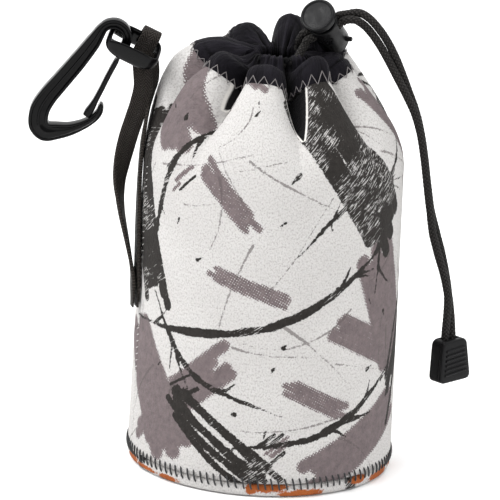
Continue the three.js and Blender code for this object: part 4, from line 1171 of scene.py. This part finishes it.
ZIGZAG_STEP, ZIGZAG_LIFT = 2.1, 0.35
ZIGZAG_BELOW, ZIGZAG_ABOVE = 0.965, 0.12  # its corners' shares of the shoulder and of the collar


def zigzag():
    """A zigzag that straddles the collar's lower edge."""
    around = np.linspace(-180, 180, 4001)
    edge = shoulder_at(around, np.ones_like(around))
    run = run_along(on_pouch(edge[:, 0], around, edge[:, 1]))
    count = int(run[-1] / ZIGZAG_STEP) // 2 * 2
    corners = []
    for k, angle in enumerate(np.interp(np.linspace(0, run[-1], count + 1), run, around)[:-1]):
        surface, share = (shoulder_at, ZIGZAG_BELOW) if k % 2 else (collar_at, ZIGZAG_ABOVE)
        a, s = np.array([angle]), np.array([share])
        spot = surface(a, s) + normal_of(surface, a, s) * ZIGZAG_LIFT
        corners.append(on_pouch(spot[0, 0], angle, spot[0, 1]))
    corners.append(corners[0])
    dense = [lerp(a, b, t) for a, b in zip(corners, corners[1:]) for t in (0.0, 0.12, 0.5, 0.88)]
    return threads("collar_zigzag", [dense], 0.15)


finish_piece(zigzag(), mat_grey_thread, "pouch", "braided_cord")


# Cutting and joining, and the cord lock
def boolean(piece, tool, kind="DIFFERENCE"):
    """Cuts a tool from a piece, or joins it on, and removes the tool."""
    modifier = piece.modifiers.new("cut", "BOOLEAN")
    modifier.operation = kind
    modifier.solver = "EXACT"
    modifier.object = tool
    bpy.context.view_layer.update()
    graph = bpy.context.evaluated_depsgraph_get()
    mesh = bpy.data.meshes.new_from_object(piece.evaluated_get(graph))
    old = piece.data
    piece.modifiers.clear()
    piece.data = mesh
    bpy.data.meshes.remove(old)
    piece.data.name = piece.name
    bpy.data.objects.remove(tool)


def rounded_section(half_x, half_y, radius, steps=4):
    """The outline of a bar with rounded corners."""
    corners = [(half_x - radius, half_y - radius, 0), (-half_x + radius, half_y - radius, 90),
               (-half_x + radius, -half_y + radius, 180), (half_x - radius, -half_y + radius, 270)]
    out = []
    for x, y, start in corners:
        for turn in (math.radians(start + 90 * k / steps) for k in range(steps + 1)):
            out.append((x + radius * math.cos(turn), y + radius * math.sin(turn)))
    return np.array(out)


def bar(width, depth, length, radius):
    """A bar along x with rounded long edges: width across y, depth along z."""
    ring = rounded_section(width / 2, depth / 2, radius, 5)
    verts = [(x, y, z) for x in (-length / 2, length / 2) for y, z in ring]
    return np.array(verts), grid_faces(2, len(ring), close_columns=True) + end_faces(2, len(ring))


def smooth_by_angle(piece, degrees=35):
    piece.data.polygons.foreach_set("use_smooth", [True] * len(piece.data.polygons))
    piece.data.set_sharp_from_angle(angle=math.radians(degrees))
    return piece


def turned_in_lock(name, rounding, corners):
    verts, faces = turned(rounded(corners, rounding), 96)
    return outward(make(name, in_lock(verts), faces))


def cut_bore(piece, depth, height):
    """Cuts the cord's bore right through a piece of the lock."""
    verts, faces = bar(BORE_WIDTH, depth, 20, 1.5)
    boolean(piece, outward(make("slot", in_lock(verts + (0, 0, height)), faces)))


def lock_barrel():
    """The open tube of the lock, with its lug near the lower end."""
    bore = LOCK_RADIUS - LOCK_WALL
    piece = turned_in_lock("cord_lock_barrel", 0.5, [
        (0, 0), (LOCK_RADIUS, 0), (LOCK_RADIUS, LOCK_HEIGHT), (bore, LOCK_HEIGHT), (bore, LOCK_FLOOR),
        (0, LOCK_FLOOR)])
    cut_bore(piece, BORE_DEPTH, BORE_HEIGHT)
    lug, faces = turned(rounded([(0, -1.1), (1.0, -1.1), (0.85, 2.0), (0, 2.0)], 0.3, 4), 28)
    turn = math.radians(-35)
    way, side = np.array([math.cos(turn), math.sin(turn), 0]), np.array([-math.sin(turn), math.cos(turn), 0])
    placed = way * (LOCK_RADIUS + lug[:, 2:]) + side * lug[:, :1] + UP * lug[:, 1:2] + (0, 0, LUG_HEIGHT)
    boolean(piece, outward(make("lug", in_lock(placed), faces)), "UNION")
    return smooth_by_angle(piece)


def lock_plunger():
    """The button and its stem in one, with the cross bore."""
    seat = LOCK_HEIGHT + CLEAR + LOCK_TRAVEL
    top = seat + 2.6
    stem = LOCK_RADIUS - LOCK_WALL - CLEAR
    foot = LOCK_FLOOR + CLEAR + 3.4 + CLEAR
    piece = turned_in_lock("cord_lock_button", 0.4, [
        (0, foot), (stem, foot), (stem, seat), (CAP_RADIUS, seat), (CAP_RADIUS, top - 0.4), (5.5, top - 0.1),
        (5.15, top - 0.6), (0, top - 0.15)])
    cut_bore(piece, BORE_DEPTH + LOCK_TRAVEL, BORE_HEIGHT + LOCK_TRAVEL / 2)
    return smooth_by_angle(piece)


def lock_spring():
    """Four turns that narrow towards the top, so that they nest when pressed."""
    steps = 161
    turn = np.linspace(0, 4 * 2 * math.pi, steps)
    radius = np.linspace(3.5, 1.6, steps)
    height = LOCK_FLOOR + CLEAR + 0.25 + np.linspace(0, 2.9, steps)
    local = np.column_stack([radius * np.cos(turn), radius * np.sin(turn), height])
    verts, faces, uv = tube(in_lock(local), 0.22, 10)
    return make("cord_lock_spring", verts, faces, uv, flip=True)


finish_piece(lock_barrel(), mat_satin, "lock", "satin_plastic", "lock_barrel")
finish_piece(lock_plunger(), mat_satin, "plunger", "satin_plastic", "lock_plunger")
spring = finish_piece(lock_spring(), mat_steel, "lock", "spring_steel", "lock_spring")
tuple(in_lock([(0, 0, LOCK_FLOOR + 0.3)])[0] * MM)
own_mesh(spring)

# Cord end
END_TOP = np.array([65.69, -1, 48.71])
END_HEIGHT, END_TOP_WIDTH, END_BOTTOM_WIDTH = 15.5, 11, 14.4
END_DEPTH, END_BACK, END_SIDE, END_COVER = 4.9, 1.4, 1.6, 1.9
END_POCKET = END_DEPTH - END_BACK
PARTING = -END_POCKET / 2
END_TURN, END_LEAN = 41, -3
end_x, end_y, end_z = (rotate(rotate(way, (0, 0, 1), END_TURN), (0, 1, 0), END_LEAN) for way in np.eye(3))
in_end = local_frame(END_TOP, end_x, end_y, end_z)


def end_outline(inset):
    """The cord end's outline with rounded corners, drawn in by the inset."""
    top, bottom = END_TOP_WIDTH / 2, END_BOTTOM_WIDTH / 2
    corners = [np.array(p) for p in ((-top, 0), (top, 0), (bottom, -END_HEIGHT), (-bottom, -END_HEIGHT))]
    out = []
    for k in range(4):
        out += round_corner(corners[k - 1], corners[k], corners[(k + 1) % 4], 2.4, 8)
    centre = np.array([0, -END_HEIGHT / 2])
    scale = np.array([(bottom - inset) / bottom, (END_HEIGHT / 2 - inset) / (END_HEIGHT / 2)])
    return centre + (np.array(out) - centre) * scale


def end_slab(name, front, back, soft_front, soft_back):
    """A slab in the cord end's outline, its front and back edges rounded."""
    rows = []
    for y, way, soft in ((front, 1, soft_front), (back, -1, soft_back)):
        edge = [(y + way * (soft * (1 - math.cos(t))), soft * (1 - math.sin(t)))
                for t in np.linspace(0, math.pi / 2, 6)]
        rows += edge[::way]
    verts = [(x, y, z) for y, inset in rows for x, z in end_outline(inset)]
    count = len(verts) // len(rows)
    faces = grid_faces(len(rows), count, close_columns=True) + end_faces(len(rows), count)
    return outward(make(name, in_end(verts), faces))


def cuboid(name, x, y, z):
    verts = [(a, b, c) for a in x for b in y for c in z]
    faces = [[0, 1, 3, 2], [4, 6, 7, 5], [0, 4, 5, 1], [2, 3, 7, 6], [0, 2, 6, 4], [1, 5, 7, 3]]
    return outward(make(name, in_end(verts), faces))


def cord_end_body():
    """The back half, with a pocket for the knot and a mouth for both strands."""
    piece = end_slab("cord_end_shell", PARTING, PARTING + END_DEPTH, 0.15, 1.1)
    half = END_TOP_WIDTH / 2 - END_SIDE + CLEAR
    deep = (PARTING - 4, PARTING + END_POCKET)
    boolean(piece, cuboid("pocket", (-half, half), deep, (-END_HEIGHT + 1.9, -3.4)))
    boolean(piece, cuboid("mouth", (-BORE_WIDTH / 2, BORE_WIDTH / 2), deep, (-3.7, 4)))
    return smooth_by_angle(piece)


def cord_end_cover():
    """The front half, with six ribs that grow longer towards its foot."""
    back = PARTING - CLEAR
    front = back - END_COVER
    piece = end_slab("cord_end_lid", front, back, 0.8, 0.15)
    for k in range(6):
        height = -END_HEIGHT / 2 - (k - 2.5) * 1.75
        rib, faces = bar(1.0, 0.9, 8.4 + 0.35 * k, 0.44)
        placed = np.column_stack([rib[:, 0], front + rib[:, 1], height + rib[:, 2] + rib[:, 0] * 0.06])
        boolean(piece, outward(make("rib", in_end(placed), faces)), "UNION")
    return smooth_by_angle(piece)


def strand_knot():
    """The knot of both strands, a loop that crosses over itself."""
    high = TAIL_ROUTE[-1][2] - END_TOP[2] - CLEAR
    low = -END_HEIGHT + END_SIDE + 0.6
    half = (high - low) / 2
    turn = np.linspace(0, 2 * math.pi, 181)
    wide, deep = END_TOP_WIDTH / 2 - 1.9 - 1.25, END_POCKET / 2 - CLEAR - 1.25
    local = np.column_stack([wide * np.sin(2 * turn) * 0.9, max(deep, 0.2) * np.cos(3 * turn),
                             (high + low) / 2 + (half - 1.3) * np.cos(turn)])
    verts, faces, uv = tube(in_end(local), 1.2, 16, bumps=braid_bumps)
    return make("cord_knot", verts, faces, uv, flip=True)


finish_piece(cord_end_body(), mat_satin, "pouch", "satin_plastic", "cord_end_body")
finish_piece(cord_end_cover(), mat_satin, "cord_end_cover", "satin_plastic", "cord_end_cover")
finish_piece(strand_knot(), mat_braid, "pouch", "braided_cord", "strand_knot")

# Oval ring
RING_PIVOT = np.array([-59.15, -4, 154.91])
ring_along = rotate((1, 0, 0), (0, 1, 0), 24)
ring_back_way = rotate((0, 1, 0), ring_along, 22)
ring_up = np.cross(ring_along, ring_back_way)
RING_LENGTH, RING_SLACK, RING_DEPTH, RING_WALL = 20, 1.3, 13, 1.7
RING_HEIGHT, RING_END_HEIGHT, RING_SQUARE = 7, 3.7, 0.42
RING_STATIONS = 144
ring_centre = RING_PIVOT + ring_along * ((RING_LENGTH - RING_WALL) / 2 - RING_SLACK)


def lens_section(half_x, half_y):
    """Fuller in the middle and thin towards its edges."""
    turn = np.linspace(0, 2 * math.pi, 40, endpoint=False)
    return np.column_stack([half_x * np.cos(turn), half_y * power(np.sin(turn), 0.75)])


def oval_ring():
    """A rounded-square ring whose band is tallest along its back and front."""
    turn = (np.arange(RING_STATIONS) + 0.5) / RING_STATIONS * 2 * math.pi
    across, along = np.cos(turn), np.sin(turn)
    long, deep = (RING_LENGTH - RING_WALL) / 2, (RING_DEPTH - RING_WALL) / 2

    def spread(right, back):
        return np.outer(right, ring_along) + np.outer(back, ring_back_way)

    points = ring_centre + spread(long * power(across, RING_SQUARE), deep * power(along, RING_SQUARE))
    sides = unit(spread(power(across / long, 2 - RING_SQUARE), power(along / deep, 2 - RING_SQUARE)))
    reach = np.abs(power(across, RING_SQUARE))
    heights = lerp(RING_HEIGHT, np.where(across < 0, RING_END_HEIGHT, 4.6), reach ** 3)
    run = run_along(points)
    at = np.linspace(0, run[-1], RING_STATIONS, endpoint=False)
    points, sides = resample(points, run, at), unit(resample(sides, run, at))
    sections = np.array([lens_section(RING_WALL / 2, h / 2) for h in np.interp(at, run, heights)])
    return smooth_by_angle(swept("oval_ring", points, sides, sections, closed=True), 50)


finish_piece(oval_ring(), mat_gloss, "strap_ring", "black_plastic", "strap_ring")

# Snap hook
HOOK_DIP, HOOK_LENGTH, HOOK_ARCH = 33.3, 41.4, 4.95
hook_across = rotate((1, 0, 0), (0, 1, 0), HOOK_DIP)
hook_down = rotate((0, 0, -1), (0, 1, 0), HOOK_DIP)


def in_hook(across, down):
    return RING_PIVOT + across * hook_across + down * hook_down


# The hook's middle line: across, down, and the section's width, depth and groove
HOOK_LINE = [(4.95 + 0.9, 4.6, 3.4, 4, 0.8), (4.95 + 0.45, 2.3, 3.4, 4, 0.8)]
HOOK_LINE += [(HOOK_ARCH * math.cos(math.radians(t)), -HOOK_ARCH * math.sin(math.radians(t)), 3.4, 4, 0.8)
              for t in (8, 40, 75, 110, 145, 172)]
HOOK_LINE += [(a * HOOK_LENGTH, d * HOOK_LENGTH, w * HOOK_LENGTH, 5, g) for a, d, w, g in (
    (-0.114, 0.14, 0.125, 1.5), (-0.12, 0.36, 0.143, 1.5), (-0.135, 0.6, 0.15, 1.4),
    (-0.145, 0.77, 0.158, 1.0), (-0.13, 0.9, 0.17, 0.6), (-0.063, 1.008, 0.17, 0.35))]
HOOK_LINE += [(0.7, 42.5, 6.7, 5, 0.3), (4.2, 39.9, 5.5, 4.8, 0.1), (7.3, 36.9, 4.2, 4.6, 0.1),
              (9.8, 33.3, 3.2, 4.4, 0.08), (11.4, 30.0, 2.7, 4.2, 0.08), (12.1, 27.0, 2.6, 4.1, 0.08),
              (11.95, 24.8, 2.4, 4, 0.08), (11.2, 23.3, 2.0, 4, 0.08), (10.45, 23.25, 1.5, 3.8, 0.05)]


def joist(width, depth, groove):
    """A rim each side of a thinner web that carries one fine ridge, with soft edges."""
    x, y = width / 2, depth / 2
    inner, web = x - min(1.1, x * 0.55), y - groove
    e = min(0.16, x * 0.12)
    ridge = min(0.28, inner * 0.4)
    right = [(x, y - 2 * e), (x - 0.3 * e, y - 0.6 * e), (x - 2 * e, y), (inner + 2 * e, y),
             (inner + 0.5 * e, y - 0.6 * e), (inner, web + e), (inner - e, web), (ridge + e, web),
             (ridge, web + 0.42 * groove)]
    half = right + [(-a, b) for a, b in right[::-1]]
    return np.array(half + [(-a, -b) for a, b in half])


def hook_frame():
    """The moulding: grooved sections that follow the hook's line from its root to its nose."""
    across, down, *sizes = np.array(HOOK_LINE).T
    spans = len(across) - 1
    shares = np.linspace(0, 1, spans * 10 + 1)
    points = catmull([in_hook(a, d) for a, d in zip(across, down)], shares)
    sides = unit(np.cross(tangents(points), np.array([0, 1.0, 0])))
    sections = np.array([joist(*row) for row in zip(*(between(size, shares * spans) for size in sizes))])
    return smooth_by_angle(swept("snap_hook", points, sides, sections), 42)


# The gate's middle line: across, down and its width
GATE_LINE = [(5.94, 5.1, 0.9), (6.0, 6.6, 1.8), (6.3, 9, 1.9), (6.9, 13, 1.9), (7.8, 18, 1.9), (8.5, 22.5, 2),
             (8.9, 25.2, 2.5), (9.05, 27.6, 2.9), (9.1, 29.3, 2.4)]


def hook_gate():
    """The sprung tongue, thin at its root and broad at its tip."""
    across, down, width = np.array(GATE_LINE).T
    shares = np.linspace(0, 1, 71)
    points = catmull([in_hook(a, d) for a, d in zip(across, down)], shares)
    widths = between(width, shares * (len(width) - 1))
    sections = np.array([rounded_section(w / 2, 2, min(w * 0.35, 0.8), 5) for w in widths])
    sides = np.repeat(hook_across[None, :], len(shares), 0)
    return smooth_by_angle(swept("snap_gate", points, sides, sections), 50)


finish_piece(hook_frame(), mat_gloss, "hook", "black_plastic", "hook_frame")
finish_piece(hook_gate(), mat_gloss, "gate", "black_plastic", "hook_gate")

# Webbing loop. Each place of its two free runs: x, y, z, and its turn and dip in degrees
STRAP_WIDTH, STRAP_THICKNESS = 6.8, 1.4
STRAP_ALONG_RING, STRAP_DIP = 4.1, 24
ROOT_ROWS = 1.6  # how many places from each end the strap is pressed thin
STRAP_OUTER = [
    (-47.91, -12.36, 58, 101, 0), (-47.9, -12.07, 63.65, 100, 0), (-48.2, -11.35, 69.28, 97, -0.1),
    (-49.19, -10.57, 74.5, 94, -0.21), (-50.53, -9.62, 80.09, 91, -0.31), (-51.96, -8.55, 85.68, 87, -0.42),
    (-53.27, -7.58, 91.17, 82, -0.62), (-54.15, -6.66, 96.77, 74, -0.93), (-54.58, -5.96, 102.4, 57, -1.36),
    (-54.16, -5.61, 107.97, 38, -1.89), (-53.24, -5.3, 113.77, 19, -2.16), (-51.95, -5.4, 119.84, 8, -2.43),
    (-50.27, -5.2, 125.94, 7, -2.74), (-48.68, -4.8, 131.93, 7, 1.07), (-47.86, -3.8, 137.18, 6, 7.02),
    (-48.35, -2.6, 142.66, 4, 12.01),
]
STRAP_INNER = [
    (-46.27, 4.4, 145.17, 16, 9.12), (-45.11, 2.6, 140.23, 45, 1.88), (-44.95, 0, 135.23, 72, -0.93),
    (-45.64, -2, 129.28, 86, -0.21), (-46.4, -3, 122.74, 90, 0), (-47.07, -3.3, 115.69, 94, 0),
    (-47.46, -3.7, 105.28, 94, 0), (-47.3, -6.27, 91.09, 98, 0), (-46.75, -10.08, 75.02, 102, 0),
    (-46.43, -11.58, 66.51, 104, 0), (-46.31, -12.17, 58, 105, 0),
]


def strap_stations():
    """Each place the webbing passes: its middle, its turn and its dip in degrees."""
    reach = RING_WALL / 2 + 0.3 + STRAP_THICKNESS / 2 + 0.7
    barrier = (RING_DEPTH - RING_WALL) / 2
    crest = RING_HEIGHT / 2 - RING_WALL / 2

    def on_ring(back, up):
        return ring_centre + ring_along * STRAP_ALONG_RING + ring_back_way * (barrier + back) + ring_up * up

    over = [on_ring(-reach * math.cos(turn), crest + reach * math.sin(turn))
            for turn in map(math.radians, (0, 45, 90, 135, 180))]
    fold = [on_ring(-reach - 1.2, -crest), on_ring(-reach - 0.4, 0), *over,
            on_ring(reach, 0), on_ring(reach, -crest)]
    outer, inner = ([(row[:3], *row[3:]) for row in rows] for rows in (STRAP_OUTER, STRAP_INNER))
    return [*outer, *((place, 0, STRAP_DIP) for place in fold), *inner]


def webbing_loop():
    """The strap from its outer end up over the ring and back down to its inner end."""
    places, turns, dips = zip(*strap_stations())
    spans = len(places) - 1
    shares = np.linspace(0, 1, spans * 10 + 1)
    at = shares * spans
    turn, dip = np.radians(between(turns, at)), np.radians(between(dips, at))
    sides = np.column_stack([np.cos(turn) * np.cos(dip), np.sin(turn) * np.cos(dip), -np.sin(dip)])
    section = rounded_section(STRAP_WIDTH / 2, STRAP_THICKNESS / 2, 0.5)
    # pressed thin and drawn together where both ends go into the seam
    pressed = smoothstep(np.minimum(at, spans - at)[:, None, None] / ROOT_ROWS)
    sections = section[None] * np.concatenate([lerp(0.72, 1, pressed), lerp(0.45, 1, pressed)], 2)
    return swept("webbing_loop", catmull(places, shares), sides, sections)


finish_piece(webbing_loop(), mat_web, "carry_loop", "webbing", "carry_loop")

# Floor and light
FLOOR_HALF = 3000
floor = make("floor", [(x * FLOOR_HALF, y * FLOOR_HALF, 0) for x, y in ((-1, -1), (1, -1), (1, 1), (-1, 1))],
             [[0, 1, 2, 3]])
floor.location = (0, 0, -0.00005)
pale = Shader("pale floor")
tint = pale.mix(pale.noise(pale.place(), 3), (0.955, 0.955, 0.955), (0.97, 0.97, 0.97))
floor.data.materials.append(pale.set(Base_Color=tint, Roughness=0.9, Specular_IOR_Level=0.1))

# The room is dimmer low down in front, so that glossy black parts keep their depth
world = bpy.data.worlds.new("studio")
scene.world = world
world.use_nodes = True
sky = Nodes(world.node_tree)
_, back, high = sky.split(sky.node("ShaderNodeTexCoord").outputs["Generated"])
shade = sky.times(sky.ramp(back, -0.2, -0.8), sky.ramp(high, 0.75, 0.35))
strength = sky.ramp(shade, 0, 1, 0.92, 0.35, "LINEAR")
sky.fill(sky.tree.nodes["Background"], {"Color": (1, 1, 1), "Strength": strength})


def area_light(name, place, target, size, power):
    data = bpy.data.lights.new(name, "AREA")
    data.shape = "RECTANGLE"
    data.size, data.size_y = size
    data.energy = power
    lamp = add_object(name, data)
    lamp.location = place
    lamp.rotation_euler = (Vector(target) - Vector(place)).to_track_quat("-Z", "Y").to_euler()


area_light("glint", (-0.5, -0.15, 0.62), (-0.05, 0, 0.13), (0.1, 0.5), 2.8)
area_light("key", (-0.7, -0.9, 1.1), (0, 0, 0.08), (0.6, 0.6), 4.2)
area_light("fill", (1.0, -0.8, 0.5), (0, 0, 0.08), (0.7, 0.9), 4)
area_light("top", (0.0, 0.3, 1.9), (0, 0.3, 0.0), (2.4, 2.4), 30)
